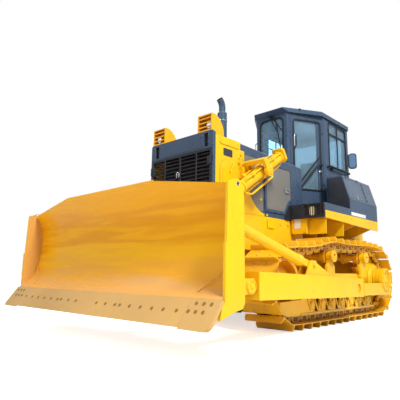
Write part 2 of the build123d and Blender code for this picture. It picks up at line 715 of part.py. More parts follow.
grille_hinge = (GRILLE_HALF_WIDTH - 3, GUARD_FRONT_Y - KNUCKLE_RADIUS - RUNNING_CLEARANCE)
with BuildPart() as grille_door:
    # the left-hand door: a frame with sloping louvres, hinged at its outer edge
    door_width = GRILLE_HALF_WIDTH - 2 * MOVING_CLEARANCE
    door_height = GRILLE_TOP - GRILLE_BOTTOM - 2 * MOVING_CLEARANCE
    door_centre = (MOVING_CLEARANCE / 2 + door_width / 2, (GRILLE_BOTTOM + GRILLE_TOP) / 2)
    with BuildSketch(Plane.XZ.offset(-GUARD_FRONT_Y)):
        with Locations(door_centre):
            Rectangle(door_width, door_height)
        with Locations(
            (MOVING_CLEARANCE / 2 + (SEAM_STILE + door_width - DOOR_STILE) / 2, door_centre[1])
        ):
            Rectangle(
                door_width - SEAM_STILE - DOOR_STILE,
                door_height - 2 * DOOR_STILE,
                mode=Mode.SUBTRACT,
            )
    extrude(amount=-GRILLE_DEPTH)
    pitch = (door_height - 2 * DOOR_STILE) / LOUVRE_COUNT
    with BuildSketch(Plane.YZ.offset(MOVING_CLEARANCE / 2 + SEAM_STILE - 2)):
        for i in range(LOUVRE_COUNT):
            z = GRILLE_BOTTOM + MOVING_CLEARANCE + DOOR_STILE + pitch * (i + 0.5)
            with BuildLine():
                Polyline(
                    (GUARD_FRONT_Y + 5, z - 12),
                    (GUARD_FRONT_Y + 9, z - 16),
                    (GUARD_FRONT_Y + 31, z + 12),
                    (GUARD_FRONT_Y + 27, z + 16),
                    close=True,
                )
            make_face()
    extrude(amount=door_width - SEAM_STILE - DOOR_STILE + 4)
    with Locations((door_centre[0] + 20, GUARD_FRONT_Y + 10, door_centre[1])):
        Box(20, 20, door_height - 20)
    for z in (GRILLE_BOTTOM + 160, GRILLE_TOP - 160):
        with Locations((grille_hinge[0], grille_hinge[1], z)):
            Cylinder(KNUCKLE_RADIUS, KNUCKLE_LENGTH)
        with Locations((grille_hinge[0] - 35, GUARD_FRONT_Y - 4, z)):
            Box(70, 8, KNUCKLE_LENGTH)
write_pair(grille_door.part, "grille_door")

with BuildPart() as hood_top:
    # a folded cover: a flat top with skirts down both sides
    with BuildSketch(Plane.YZ.offset(-HOOD_SIDE_X)):
        with BuildLine():
            Polyline(
                (HOOD_FRONT_Y, HOOD_SKIRT_Z),
                (HOOD_FRONT_Y, HOOD_TOP_FRONT),
                (HOOD_REAR_Y, HOOD_TOP_REAR),
                (HOOD_REAR_Y, HOOD_SKIRT_Z),
                close=True,
            )
        make_face()
    extrude(amount=2 * HOOD_SIDE_X)
    chamfer(hood_top.edges().filter_by(lambda e: e.length > 1000).sort_by(Axis.Z)[-2:], 18)
    with BuildSketch(Plane.YZ.offset(HOOD_SHEET - HOOD_SIDE_X)):
        with BuildLine():
            Polyline(
                (HOOD_FRONT_Y - 10, HOOD_SKIRT_Z - 10),
                (HOOD_FRONT_Y - 10, HOOD_TOP_FRONT - HOOD_SHEET),
                (HOOD_REAR_Y + 10, HOOD_TOP_REAR - HOOD_SHEET),
                (HOOD_REAR_Y + 10, HOOD_SKIRT_Z - 10),
                close=True,
            )
        make_face()
    extrude(amount=2 * (HOOD_SIDE_X - HOOD_SHEET), mode=Mode.SUBTRACT)
    with Locations((0, EXHAUST_Y, HOOD_TOP_FRONT)):
        Cylinder(EXHAUST_RADIUS + 1, 300, mode=Mode.SUBTRACT)
write(hood_top.part, "hood_top")

# the door's lower rear corner is cut away, so that it swings past the lamp panel and deck
door_opening = [
    (DOOR_FRONT_Y, DOOR_BOTTOM),
    (FENDER_FRONT_Y - 145, DOOR_BOTTOM),
    (FENDER_FRONT_Y - 42, DECK_TOP + 8),
    (DOOR_REAR_Y, DECK_TOP + 78),
    (DOOR_REAR_Y, DOOR_TOP - 40),
    (DOOR_REAR_Y - 60, DOOR_TOP),
    (DOOR_FRONT_Y, DOOR_TOP),
]
with BuildPart() as hood_side:
    with BuildSketch(Plane.YZ.offset(HOOD_SIDE_X - PANEL)):
        with BuildLine():
            Polyline(
                (guard_rear_y, HOOD_SIDE_BOTTOM),
                (HOOD_REAR_Y, HOOD_SIDE_BOTTOM),
                (HOOD_REAR_Y, HOOD_SKIRT_Z),
                (guard_rear_y, HOOD_SKIRT_Z),
                close=True,
            )
        make_face()
        with BuildLine():
            Polyline(*door_opening, close=True)
        make_face(mode=Mode.SUBTRACT)
    extrude(amount=PANEL)
    # the guard's side plate runs back over its front edge
    with BuildSketch(Plane.YZ.offset(HOOD_SIDE_X - PANEL - 10)):
        add(guard_side.sketch)
    extrude(amount=PANEL + 20, mode=Mode.SUBTRACT)
write_pair(hood_side.part, "hood_side")

engine_hinge = (HOOD_SIDE_X + KNUCKLE_RADIUS + RUNNING_CLEARANCE, DOOR_FRONT_Y + 3)
with BuildPart() as engine_door:
    with BuildSketch(Plane.YZ.offset(HOOD_SIDE_X - PANEL)):
        with BuildLine():
            Polyline(*offset_outline(door_opening, MOVING_CLEARANCE), close=True)
        make_face()
    extrude(amount=PANEL + 12)
    with BuildSketch(Plane.YZ.offset(HOOD_SIDE_X + 12 - DOOR_MESH_SINK)):
        with BuildLine():
            Polyline(*offset_outline(door_opening, MOVING_CLEARANCE + DOOR_FRAME), close=True)
        make_face()
    extrude(amount=2 * DOOR_MESH_SINK, mode=Mode.SUBTRACT)
    for z in (DOOR_BOTTOM + 130, DOOR_TOP - 130):
        with Locations((engine_hinge[0], engine_hinge[1], z)):
            Cylinder(KNUCKLE_RADIUS, KNUCKLE_LENGTH)
write_pair(engine_door.part, "engine_door")

with BuildPart() as hull_shoulder:
    # the yellow hull side between the frame and the hood's panels
    with BuildSketch(Plane.YZ.offset(HULL_HALF_WIDTH + RUNNING_CLEARANCE)):
        with BuildLine():
            Polyline(
                (guard_rear_y, 1000),
                (CAB_FRONT_Y - 50, 1000),
                (CAB_FRONT_Y - 50, HOOD_SIDE_BOTTOM),
                (guard_rear_y, HOOD_SIDE_BOTTOM),
                close=True,
            )
        make_face()
    extrude(amount=HOOD_SIDE_X - HULL_HALF_WIDTH)
write(both_sides(hull_shoulder.part), "hull_shoulders")

with BuildPart() as engine:
    with Locations((0, -150, (HULL_TOP + 2250) / 2)):
        Box(760, 1300, 2250 - HULL_TOP)
write(engine.part, "engine_block")

HEADLIGHT_INNER_X = 325.0
HEADLIGHT_OUTER_X = 575.0
HEADLIGHT_TOP = 2730.0
HEADLIGHT_DEPTH = 240.0
HEADLIGHT_WALL = 16.0
LAMP_X = 489.0
LAMP_Z = 2588.0
LAMP_HALF = 58.0

headlight_y = GUARD_FRONT_Y + HEADLIGHT_DEPTH
foot_z = GUARD_TOP + RUNNING_CLEARANCE
base_z = FRAME_TOP + RUNNING_CLEARANCE
with BuildPart() as headlight:
    # a housing with a rounded back, open at the front
    with BuildSketch(Plane.YZ.offset(HEADLIGHT_INNER_X)):
        with BuildLine():
            back = ThreePointArc(
                (headlight_y, base_z), (headlight_y - 60, 2655), (GUARD_FRONT_Y + 70, HEADLIGHT_TOP)
            )
            Polyline(
                back @ 1, (GUARD_FRONT_Y, HEADLIGHT_TOP), (GUARD_FRONT_Y, base_z), back @ 0
            )
        make_face()
    extrude(amount=HEADLIGHT_OUTER_X - HEADLIGHT_INNER_X)
    with BuildSketch(Plane.YZ.offset(HEADLIGHT_INNER_X + HEADLIGHT_WALL)):
        with BuildLine():
            back = ThreePointArc(
                (headlight_y - 20, base_z + HEADLIGHT_WALL),
                (headlight_y - 76, 2642),
                (GUARD_FRONT_Y + 60, HEADLIGHT_TOP - HEADLIGHT_WALL),
            )
            Polyline(
                back @ 1,
                (GUARD_FRONT_Y - 10, HEADLIGHT_TOP - HEADLIGHT_WALL),
                (GUARD_FRONT_Y - 10, base_z + HEADLIGHT_WALL),
                back @ 0,
            )
        make_face()
    extrude(
        amount=HEADLIGHT_OUTER_X - HEADLIGHT_INNER_X - 2 * HEADLIGHT_WALL, mode=Mode.SUBTRACT
    )
    # the guard bars across its mouth, and the lamp on its stem behind them
    for i in (1, 2, 3):
        z = base_z + (HEADLIGHT_TOP - base_z) * i / 4 + 4
        with Locations(((HEADLIGHT_INNER_X + HEADLIGHT_OUTER_X) / 2, GUARD_FRONT_Y + 12, z)):
            Box(HEADLIGHT_OUTER_X - HEADLIGHT_INNER_X - 10, 16, 16)
    with BuildSketch(Plane.XZ.offset(-GUARD_FRONT_Y - 50)):
        with Locations((LAMP_X, LAMP_Z)):
            RectangleRounded(2 * LAMP_HALF, 2 * LAMP_HALF, 14)
    extrude(amount=-90)
    with Locations((LAMP_X, GUARD_FRONT_Y + 110, (base_z + LAMP_Z) / 2)):
        Box(40, 40, LAMP_Z - base_z - 6)
    # the foot that stands on the guard behind the grille's frame
    with Locations(
        (
            (HEADLIGHT_INNER_X + HEADLIGHT_OUTER_X) / 2,
            (guard_body_y + headlight_y) / 2,
            (foot_z + base_z + 4) / 2,
        )
    ):
        Box(
            HEADLIGHT_OUTER_X - HEADLIGHT_INNER_X,
            headlight_y - guard_body_y - RUNNING_CLEARANCE,
            base_z + 4 - foot_z,
        )
write(both_sides(headlight.part), "headlights")

STACK_TOP = 3130.0
BEND_BOTTOM = 3205.0
BEND_RADIUS = 150.0
BEND_ANGLE = 48.0
with BuildPart() as exhaust:
    with Locations((0, EXHAUST_Y, HOOD_TOP_FRONT - 40)):
        Cylinder(
            EXHAUST_RADIUS,
            STACK_TOP - HOOD_TOP_FRONT + 40,
            align=(Align.CENTER, Align.CENTER, Align.MIN),
        )
    chamfer(exhaust.edges().sort_by(Axis.Z)[-1], 16)
    # the thinner outlet pipe, bent towards the front and open at its mouth
    with BuildLine() as pipe_line:
        rise = Line((0, EXHAUST_Y, STACK_TOP - 20), (0, EXHAUST_Y, BEND_BOTTOM))
        bend = ThreePointArc(
            rise @ 1,
            (
                0,
                EXHAUST_Y - BEND_RADIUS * (1 - cos(radians(BEND_ANGLE / 2))),
                BEND_BOTTOM + BEND_RADIUS * sin(radians(BEND_ANGLE / 2)),
            ),
            (
                0,
                EXHAUST_Y - BEND_RADIUS * (1 - cos(radians(BEND_ANGLE))),
                BEND_BOTTOM + BEND_RADIUS * sin(radians(BEND_ANGLE)),
            ),
        )
        Line(bend @ 1, bend @ 1 + (bend % 1) * 20)
    with BuildSketch(Plane(origin=rise @ 0, z_dir=(0, 0, 1))):
        Circle(PIPE_RADIUS)
    sweep(path=pipe_line.line)
    with BuildLine() as bore_line:
        Line(bend @ 1 + (bend % 1) * 30, bend @ 1 - (bend % 1) * 60)
    with BuildSketch(Plane(origin=bend @ 1 + (bend % 1) * 30, z_dir=-(bend % 1))):
        Circle(PIPE_RADIUS - 5)
    sweep(path=bore_line.line, mode=Mode.SUBTRACT)
write(exhaust.part, "exhaust_stack")

# ---- Fenders, side boxes and fuel tank ------------------------------------------------
FENDER_OUTER_X = 1200.0
FENDER_INNER_X = 620.0
FENDER_REAR_Y = 2270.0
FENDER_TOP = 1610.0
FENDER_BOTTOM = 1500.0
FENDER_REAR_BOTTOM = 1445.0
BOX_FRONT_Y = 1170.0
BOX_INNER_X = 800.0
BOX_RIDGE_X = 1080.0
BOX_EAVE_Z = 1890.0
BOX_RIDGE_Z = 2295.0
LID_REAR_Y = 1850.0
CAB_SILL_Z = 1850.0
CAB_TOP_Z = 3450.0

FASCIA_OUTER_X = 883.0
MUD_PLATE_BOTTOM = 1270.0
bracket_ys = (FENDER_FRONT_Y + 70, 950, 1500, FENDER_REAR_Y - 40)
shoulder_rear_y = CAB_FRONT_Y - 50
with BuildPart() as fender:
    # the yellow edge band with its floor plate
    with BuildSketch(Plane.YZ.offset(FENDER_OUTER_X - 25)):
        with BuildLine():
            Polyline(
                (FENDER_FRONT_Y, FENDER_BOTTOM),
                (FENDER_REAR_Y, FENDER_REAR_BOTTOM),
                (FENDER_REAR_Y, FENDER_TOP),
                (FENDER_FRONT_Y, FENDER_TOP),
                close=True,
            )
        make_face()
    extrude(amount=25)
    with BuildSketch(Plane.XY.offset(FENDER_TOP - 40)):
        with Locations(((FENDER_INNER_X + FENDER_OUTER_X) / 2, (FENDER_FRONT_Y + FENDER_REAR_Y) / 2)):
            Rectangle(FENDER_OUTER_X - FENDER_INNER_X, FENDER_REAR_Y - FENDER_FRONT_Y)
    extrude(amount=40)
    # gussets that carry it from the hull and from the hull's shoulder
    for y in bracket_ys:
        root_x = HOOD_SIDE_X if y < shoulder_rear_y else HULL_HALF_WIDTH
        foot_z = 1250 if y < shoulder_rear_y else HULL_TOP - 200
        with BuildSketch(Plane.XZ.offset(-y)):
            with BuildLine():
                Polyline(
                    (root_x + 2 * RUNNING_CLEARANCE, foot_z),
                    (root_x + 2 * RUNNING_CLEARANCE, HOOD_SIDE_BOTTOM - 10),
                    (FENDER_INNER_X, HOOD_SIDE_BOTTOM),
                    (FENDER_INNER_X, FENDER_TOP - 20),
                    (FENDER_OUTER_X - 10, FENDER_TOP - 20),
                    (FENDER_OUTER_X - 10, FENDER_TOP - 90),
                    (FENDER_INNER_X + 80, FENDER_TOP - 280),
                    (FENDER_INNER_X + 80, foot_z),
                    close=True,
                )
            make_face()
        extrude(amount=-20)
    # the mud plates in front of the first gussets, rounded at their inner top corner
    for y in bracket_ys[:2]:
        with BuildSketch(Plane.XZ.offset(-y + 12)):
            with BuildLine():
                corner = ThreePointArc(
                    (FASCIA_OUTER_X + 8, MUD_PLATE_BOTTOM + 160),
                    (FASCIA_OUTER_X + 44, MUD_PLATE_BOTTOM + 218),
                    (FASCIA_OUTER_X + 118, FENDER_BOTTOM - 6),
                )
                Polyline(
                    corner @ 1,
                    (FENDER_OUTER_X - 26, FENDER_BOTTOM - 6),
                    (FENDER_OUTER_X - 26, MUD_PLATE_BOTTOM),
                    (FASCIA_OUTER_X + 8, MUD_PLATE_BOTTOM),
                    corner @ 0,
                )
            make_face()
        extrude(amount=-12.5)
    # the folded fascia under the lamp panel
    with Locations(((FENDER_INNER_X + FASCIA_OUTER_X) / 2, FENDER_FRONT_Y + 8, 1430)):
        Box(FASCIA_OUTER_X - FENDER_INNER_X, 14, 300)
    with Locations((FASCIA_OUTER_X - 6, FENDER_FRONT_Y + 45, 1430)):
        Box(12, 90, 300)
write_pair(fender.part, "fender")

BOX_WALL = 18.0
LID_MARGIN = 30.0
slope = Vector(BOX_RIDGE_X - FENDER_OUTER_X, 0, BOX_RIDGE_Z - BOX_EAVE_Z)
slope_length = slope.length
box_face = Plane(
    origin=((BOX_RIDGE_X + FENDER_OUTER_X) / 2, 0, (BOX_RIDGE_Z + BOX_EAVE_Z) / 2),
    x_dir=(0, 1, 0),
    z_dir=Vector(0, 1, 0).cross(slope),
)
box_section = [
    (BOX_INNER_X, FENDER_TOP + RUNNING_CLEARANCE),
    (FENDER_OUTER_X, FENDER_TOP + RUNNING_CLEARANCE),
    (FENDER_OUTER_X, BOX_EAVE_Z),
    (BOX_RIDGE_X, BOX_RIDGE_Z),
    (BOX_INNER_X, BOX_RIDGE_Z),
]


lid_length = LID_REAR_Y - BOX_FRONT_Y - 2 * LID_MARGIN
lid_height = slope_length - 2 * LID_MARGIN
lid_y = (LID_REAR_Y + BOX_FRONT_Y) / 2
with BuildPart() as side_box:
    with BuildSketch(Plane.XZ.offset(-BOX_FRONT_Y)):
        with BuildLine():
            Polyline(*box_section, close=True)
        make_face()
    extrude(amount=-(FENDER_REAR_Y - BOX_FRONT_Y))
    with BuildSketch(Plane.XZ.offset(-BOX_FRONT_Y - BOX_WALL)):
        with BuildLine():
            Polyline(*offset_outline(box_section, BOX_WALL), close=True)
        make_face()
    extrude(amount=-(FENDER_REAR_Y - BOX_FRONT_Y - 2 * BOX_WALL), mode=Mode.SUBTRACT)
    with BuildSketch(box_face.offset(10)):
        with Locations((lid_y, 0)):
            Rectangle(lid_length, lid_height)
    extrude(amount=-BOX_WALL - 20, mode=Mode.SUBTRACT)
write_pair(side_box.part, "side_box")

LID_KNUCKLE = 9.0
LID_KNUCKLE_DROP = 14.0       # of the hinge's line below the box's top edge, down the slope
lid_hinge = (
    box_face.origin
    + box_face.y_dir * (slope_length / 2 - LID_KNUCKLE_DROP)
    + box_face.z_dir * (LID_KNUCKLE + RUNNING_CLEARANCE)
)
with BuildPart() as box_lid:
    with BuildSketch(box_face):
        with Locations((lid_y, 0)):
            Rectangle(lid_length - 2 * MOVING_CLEARANCE, lid_height - 2 * MOVING_CLEARANCE)
    extrude(amount=-BOX_WALL)
    for y in (lid_y - lid_length / 3, lid_y + lid_length / 3):
        with BuildSketch(Plane.XZ.offset(-y + 30)):
            with Locations((lid_hinge.X, lid_hinge.Z)):
                Circle(LID_KNUCKLE)
        extrude(amount=-60)
        with BuildSketch(box_face):
            with Locations((y, slope_length / 2 - LID_KNUCKLE_DROP - 22)):
                Rectangle(60, 44)
        extrude(amount=5)
    # only the leaf over the lid itself stays on its face
    with BuildSketch(box_face):
        with Locations((lid_y, slope_length / 2 - LID_KNUCKLE_DROP)):
            Rectangle(lid_length, 2 * (LID_MARGIN - LID_KNUCKLE_DROP + MOVING_CLEARANCE))
    extrude(amount=RUNNING_CLEARANCE, mode=Mode.SUBTRACT)
write_pair(box_lid.part, "box_lid")

LAMP_PANEL_BACK = 30.0
LAMP_MOUTH_X = 867.0
LAMP_BARS_X = (942.0, 1065.0, 1143.0)
lamp_panel_y = FENDER_FRONT_Y - RUNNING_CLEARANCE - LAMP_PANEL_BACK
with BuildPart() as lamp_panel:
    # a boxed panel under the deck's front edge, with a barred mouth for the work lamp
    with BuildSketch(Plane.XZ.offset(-lamp_panel_y)):
        with BuildLine():
            Polyline(
                (FENDER_INNER_X + 20, FENDER_BOTTOM + 6),
                (FENDER_OUTER_X, FENDER_BOTTOM + 6),
                (FENDER_OUTER_X, DECK_TOP),
                (FENDER_INNER_X + 20, DECK_TOP),
                close=True,
            )
        make_face()
        with BuildLine():
            Polyline(
                (LAMP_MOUTH_X, FENDER_BOTTOM + 40),
                (FENDER_OUTER_X - 24, FENDER_BOTTOM + 40),
                (FENDER_OUTER_X - 24, DECK_TOP - 18),
                (LAMP_MOUTH_X, DECK_TOP - 18),
                close=True,
            )
        make_face(mode=Mode.SUBTRACT)
    extrude(amount=-LAMP_PANEL_BACK)
    with Locations((0, lamp_panel_y + LAMP_PANEL_BACK - 4, (FENDER_BOTTOM + DECK_TOP) / 2)):
        with Locations(((LAMP_MOUTH_X + FENDER_OUTER_X) / 2, 0, 0)):
            Box(FENDER_OUTER_X - LAMP_MOUTH_X, 8, DECK_TOP - FENDER_BOTTOM - 30)
    for x in LAMP_BARS_X:
        with Locations((x, lamp_panel_y + 7, (FENDER_BOTTOM + DECK_TOP) / 2 + 6)):
            Box(14, 14, DECK_TOP - FENDER_BOTTOM - 50)
    # the flap that closes the corner between the panel and the hood's side
    with BuildSketch(Plane.YZ.offset(HOOD_SIDE_X + RUNNING_CLEARANCE)):
        with BuildLine():
            Polyline(
                (FENDER_FRONT_Y - 159, HOOD_SIDE_BOTTOM - 6),
                (FENDER_FRONT_Y - RUNNING_CLEARANCE, HOOD_SIDE_BOTTOM - 6),
                (FENDER_FRONT_Y - RUNNING_CLEARANCE, DECK_TOP),
                (FENDER_FRONT_Y - 42, DECK_TOP),
                (FENDER_FRONT_Y - 151, DOOR_BOTTOM - 6),
                (FENDER_FRONT_Y - 159, DOOR_BOTTOM - 10),
                close=True,
            )
        make_face()
    extrude(amount=12)
    with Locations(
        (
            HOOD_SIDE_X + RUNNING_CLEARANCE + (FENDER_INNER_X + 30 - HOOD_SIDE_X) / 2,
            lamp_panel_y + 15,
            (FENDER_BOTTOM + 6 + DECK_TOP) / 2,
        )
    ):
        Box(FENDER_INNER_X + 30 - HOOD_SIDE_X, 30, DECK_TOP - FENDER_BOTTOM - 6)
write(both_sides(lamp_panel.part), "lamp_panels")

# ---- Cab ------------------------------------------------------------------------------
CAB_FRONT_HALF = 320.0
CAB_SIDE_X = 680.0
CAB_SIDE_Y = 1400.0
CAB_REAR_Y = 2335.0
CAB_WALL = 50.0
CAB_FLOOR = 70.0
PILLAR = 60.0                 # of the front corner posts, along the slanting side
HINGE_PILLAR = 46.0
ROOF_THICKNESS = 75.0
ROOF_SIDE_X = 706.0
VISOR_Y = 632.0               # front lip of the roof
VISOR_HALF = 300.0
GLASS = 8.0
FRONT_GLASS = (2790.0, 1190.0, 480.0, 85.0)   # middle height, height, width, corner radius
SIDE_GLASS = (2994.0, 812.0, 1890.0, 680.0, 38.0)  # height's middle, height, Y, width, radius
REAR_GLASS = (2860.0, 900.0, 1120.0, 60.0)

cab_corners = [
    (CAB_FRONT_HALF, CAB_FRONT_Y),
    (CAB_SIDE_X, CAB_SIDE_Y),
    (CAB_SIDE_X, CAB_REAR_Y),
    (-CAB_SIDE_X, CAB_REAR_Y),
    (-CAB_SIDE_X, CAB_SIDE_Y),
    (-CAB_FRONT_HALF, CAB_FRONT_Y),
]


def between(a, b, distance):
    """The point at a distance from a towards b."""
    length = hypot(b[0] - a[0], b[1] - a[1])
    return (a[0] + (b[0] - a[0]) * distance / length, a[1] + (b[1] - a[1]) * distance / length)


inner_corners = offset_outline(cab_corners, CAB_WALL)
front_l, side_l, rear_l, rear_r, _, front_r = cab_corners
front_l_in, side_l_in, rear_l_in, rear_r_in, _, front_r_in = inner_corners
a_out, a_in = between(front_l, side_l, PILLAR), between(front_l_in, side_l_in, PILLAR * 0.7)
b_out = between(side_l, front_l, HINGE_PILLAR)
b_in = between(side_l_in, front_l_in, HINGE_PILLAR * 0.9)


def mirrored(points):
    """The plan points on the other side of the machine, in reverse order."""
    return [(-x, y) for x, y in reversed(points)]


front_outline = [front_r, front_l, a_out, a_in, front_l_in, front_r_in]
front_outline += mirrored([a_out, a_in])
with BuildPart() as cab_front:
    with BuildSketch(Plane.XY.offset(CAB_SILL_Z)):
        with BuildLine():
            Polyline(*front_outline, close=True)
        make_face()
    extrude(amount=CAB_TOP_Z - CAB_SILL_Z)
    with BuildSketch(Plane.XZ.offset(-CAB_FRONT_Y + 50)):
        with Locations((0, FRONT_GLASS[0])):
            RectangleRounded(FRONT_GLASS[2], FRONT_GLASS[1], FRONT_GLASS[3])
    extrude(amount=-CAB_WALL - 100, mode=Mode.SUBTRACT)
write(cab_front.part, "cab_front")

with BuildPart() as cab_side:
    with BuildSketch(Plane.XY.offset(CAB_SILL_Z)):
        with BuildLine():
            Polyline(side_l, rear_l, rear_l_in, side_l_in, b_in, b_out, close=True)
        make_face()
    extrude(amount=CAB_TOP_Z - CAB_SILL_Z)
    with BuildSketch(Plane.YZ.offset(CAB_SIDE_X + 50)):
        with Locations((SIDE_GLASS[2], SIDE_GLASS[0])):
            RectangleRounded(SIDE_GLASS[3], SIDE_GLASS[1], SIDE_GLASS[4])
    extrude(amount=-CAB_WALL - 100, mode=Mode.SUBTRACT)
write_pair(cab_side.part, "cab_side")

with BuildPart() as cab_rear:
    with BuildSketch(Plane.XY.offset(CAB_SILL_Z)):
        with BuildLine():
            Polyline(rear_l, rear_r, rear_r_in, rear_l_in, close=True)
        make_face()
    extrude(amount=CAB_TOP_Z - CAB_SILL_Z)
    with BuildSketch(Plane.XZ.offset(-CAB_REAR_Y - 50)):
        with Locations((0, REAR_GLASS[0])):
            RectangleRounded(REAR_GLASS[2], REAR_GLASS[1], REAR_GLASS[3])
    extrude(amount=CAB_WALL + 100, mode=Mode.SUBTRACT)
write(cab_rear.part, "cab_rear")

write(slab(cab_corners, CAB_SILL_Z - CAB_FLOOR, CAB_SILL_Z), "cab_floor")
roof_half = [
    (VISOR_HALF, VISOR_Y),
    (ROOF_SIDE_X, CAB_SIDE_Y - 118),
    (ROOF_SIDE_X, CAB_REAR_Y + 4),
]
with BuildPart() as cab_roof:
    add(slab(roof_half + mirrored(roof_half), CAB_TOP_Z, CAB_TOP_Z + ROOF_THICKNESS))
    # the underside slopes up to a thin lip over the front window
    with BuildSketch(Plane.YZ.offset(-CAB_SIDE_X)):
        with BuildLine():
            Polyline(
                (VISOR_Y - 10, CAB_TOP_Z - 10),
                (CAB_FRONT_Y - 2, CAB_TOP_Z - 10),
                (CAB_FRONT_Y - 2, CAB_TOP_Z),
                (VISOR_Y, CAB_TOP_Z + ROOF_THICKNESS - 14),
                (VISOR_Y - 10, CAB_TOP_Z + ROOF_THICKNESS - 14),
                close=True,
            )
        make_face()
    extrude(amount=2 * CAB_SIDE_X, mode=Mode.SUBTRACT)
    with Locations((480, 905, CAB_TOP_Z + ROOF_THICKNESS - 6)):
        Cylinder(22, 12)
write(cab_roof.part, "cab_roof")

with BuildPart() as platform:
    # the deck round the rear of the hood, with the plinth that the cab stands on
    with BuildSketch(Plane.XY.offset(FENDER_TOP + RUNNING_CLEARANCE)):
        right_half = [
            (FENDER_INNER_X, FENDER_FRONT_Y),
            (FENDER_OUTER_X, FENDER_FRONT_Y),
            (FENDER_OUTER_X, BOX_FRONT_Y - RUNNING_CLEARANCE),
            (BOX_INNER_X - RUNNING_CLEARANCE, BOX_FRONT_Y - RUNNING_CLEARANCE),
            (BOX_INNER_X - RUNNING_CLEARANCE, FENDER_REAR_Y),
        ]
        with BuildLine():
            Polyline(
                (-FENDER_INNER_X, HOOD_REAR_Y + 10),
                (FENDER_INNER_X, HOOD_REAR_Y + 10),
                *right_half,
                *mirrored(right_half),
                close=True,
            )
        make_face()
    extrude(amount=DECK_TOP - FENDER_TOP - RUNNING_CLEARANCE)
    with BuildSketch(Plane.XY.offset(DECK_TOP - 20)):
        with BuildLine():
            Polyline(*cab_corners, close=True)
        make_face()
    extrude(amount=CAB_SILL_Z - CAB_FLOOR - DECK_TOP + 20)
write(platform.part, "platform")

door_gap = MOVING_CLEARANCE
door_a_out = between(a_out, b_out, door_gap)
door_b_out = between(b_out, a_out, door_gap)
door_a_in = between(a_in, b_in, door_gap)
door_b_in = between(b_in, a_in, door_gap + 8)
door_mid = ((a_out[0] + b_out[0]) / 2, (a_out[1] + b_out[1]) / 2)
door_dir = (b_out[0] - a_out[0], b_out[1] - a_out[1])
door_half = hypot(*door_dir) / 2 - door_gap
door_face = Plane(
    origin=(door_mid[0], door_mid[1], 0),
    x_dir=(door_dir[0], door_dir[1], 0),
    z_dir=(door_dir[1], -door_dir[0], 0),
)
cab_hinge = (
    door_face.origin
    + door_face.x_dir * (door_half + 3)
    + door_face.z_dir * (KNUCKLE_RADIUS + RUNNING_CLEARANCE)
)
DOOR_WINDOW_TOP = 3345.0
DOOR_WINDOW_BOTTOM = 2104.0
DOOR_WINDOW_EDGE = 50.0       # from the door's front edge to its window
HANDLE_NOTCH = 42.0           # how far the window steps back round the handle
HANDLE_TOP = 3068.0
HANDLE_BOTTOM = 2850.0


def door_window(inset):
    """The window in the door's face, stepped back round the handle at its front edge."""
    front = -door_half + DOOR_WINDOW_EDGE + inset
    rear = door_half - 104 - inset
    with BuildSketch() as window:
        with BuildLine():
            outline = Polyline(
                (front, DOOR_WINDOW_BOTTOM + inset),
                (rear, DOOR_WINDOW_BOTTOM + inset),
                (rear - 8, DOOR_WINDOW_TOP - inset),
                (front, DOOR_WINDOW_TOP - inset),
                (front, HANDLE_TOP + 80),
                (front + HANDLE_NOTCH, HANDLE_TOP),
                (front + HANDLE_NOTCH, HANDLE_BOTTOM),
                (front, HANDLE_BOTTOM - 80),
                close=True,
            )
        make_face()
        corners = window.vertices().sort_by(Axis.Y)
        fillet(corners[:2] + corners[-2:], 62 - inset)
        fillet(window.vertices().sort_by(Axis.Y)[4:-4], 24)
    return window.sketch


with BuildPart() as cab_door:
    with BuildSketch(Plane.XY.offset(CAB_SILL_Z + door_gap)):
        with BuildLine():
            Polyline(door_a_out, door_b_out, door_b_in, door_a_in, close=True)
        make_face()
    extrude(amount=CAB_TOP_Z - CAB_SILL_Z - 2 * door_gap)
    with BuildSketch(door_face.offset(50)):
        add(door_window(0))
    extrude(amount=-CAB_WALL - 100, mode=Mode.SUBTRACT)
    for z in (CAB_SILL_Z + 420, CAB_TOP_Z - 250):
        with Locations((cab_hinge.X, cab_hinge.Y, z)):
            Cylinder(KNUCKLE_RADIUS, KNUCKLE_LENGTH)
        with BuildSketch(door_face):
            with Locations((door_half - 30, z)):
                Rectangle(66, KNUCKLE_LENGTH)
        extrude(amount=9)
write_pair(cab_door.part, "cab_door")

with BuildPart() as door_glass:
    with BuildSketch(door_face.offset(-CAB_WALL / 2)):
        add(door_window(RUNNING_CLEARANCE))
    extrude(amount=GLASS)
write_pair(door_glass.part, "door_window")

seat_gap = 2 * RUNNING_CLEARANCE
with BuildPart() as windows:
    with BuildSketch(Plane.XZ.offset(-CAB_FRONT_Y - CAB_WALL / 2)):
        with Locations((0, FRONT_GLASS[0])):
            RectangleRounded(
                FRONT_GLASS[2] - seat_gap, FRONT_GLASS[1] - seat_gap, FRONT_GLASS[3] - seat_gap / 2
            )
    extrude(amount=GLASS)
    with BuildSketch(Plane.XZ.offset(-CAB_REAR_Y + CAB_WALL / 2)):
        with Locations((0, REAR_GLASS[0])):
            RectangleRounded(
                REAR_GLASS[2] - seat_gap, REAR_GLASS[1] - seat_gap, REAR_GLASS[3] - seat_gap / 2
            )
    extrude(amount=GLASS)
    for x in (CAB_SIDE_X - CAB_WALL / 2, -CAB_SIDE_X + CAB_WALL / 2 - GLASS):
        with BuildSketch(Plane.YZ.offset(x)):
            with Locations((SIDE_GLASS[2], SIDE_GLASS[0])):
                RectangleRounded(
                    SIDE_GLASS[3] - seat_gap, SIDE_GLASS[1] - seat_gap, SIDE_GLASS[4] - seat_gap / 2
                )
        extrude(amount=GLASS)
write(windows.part, "cab_windows")

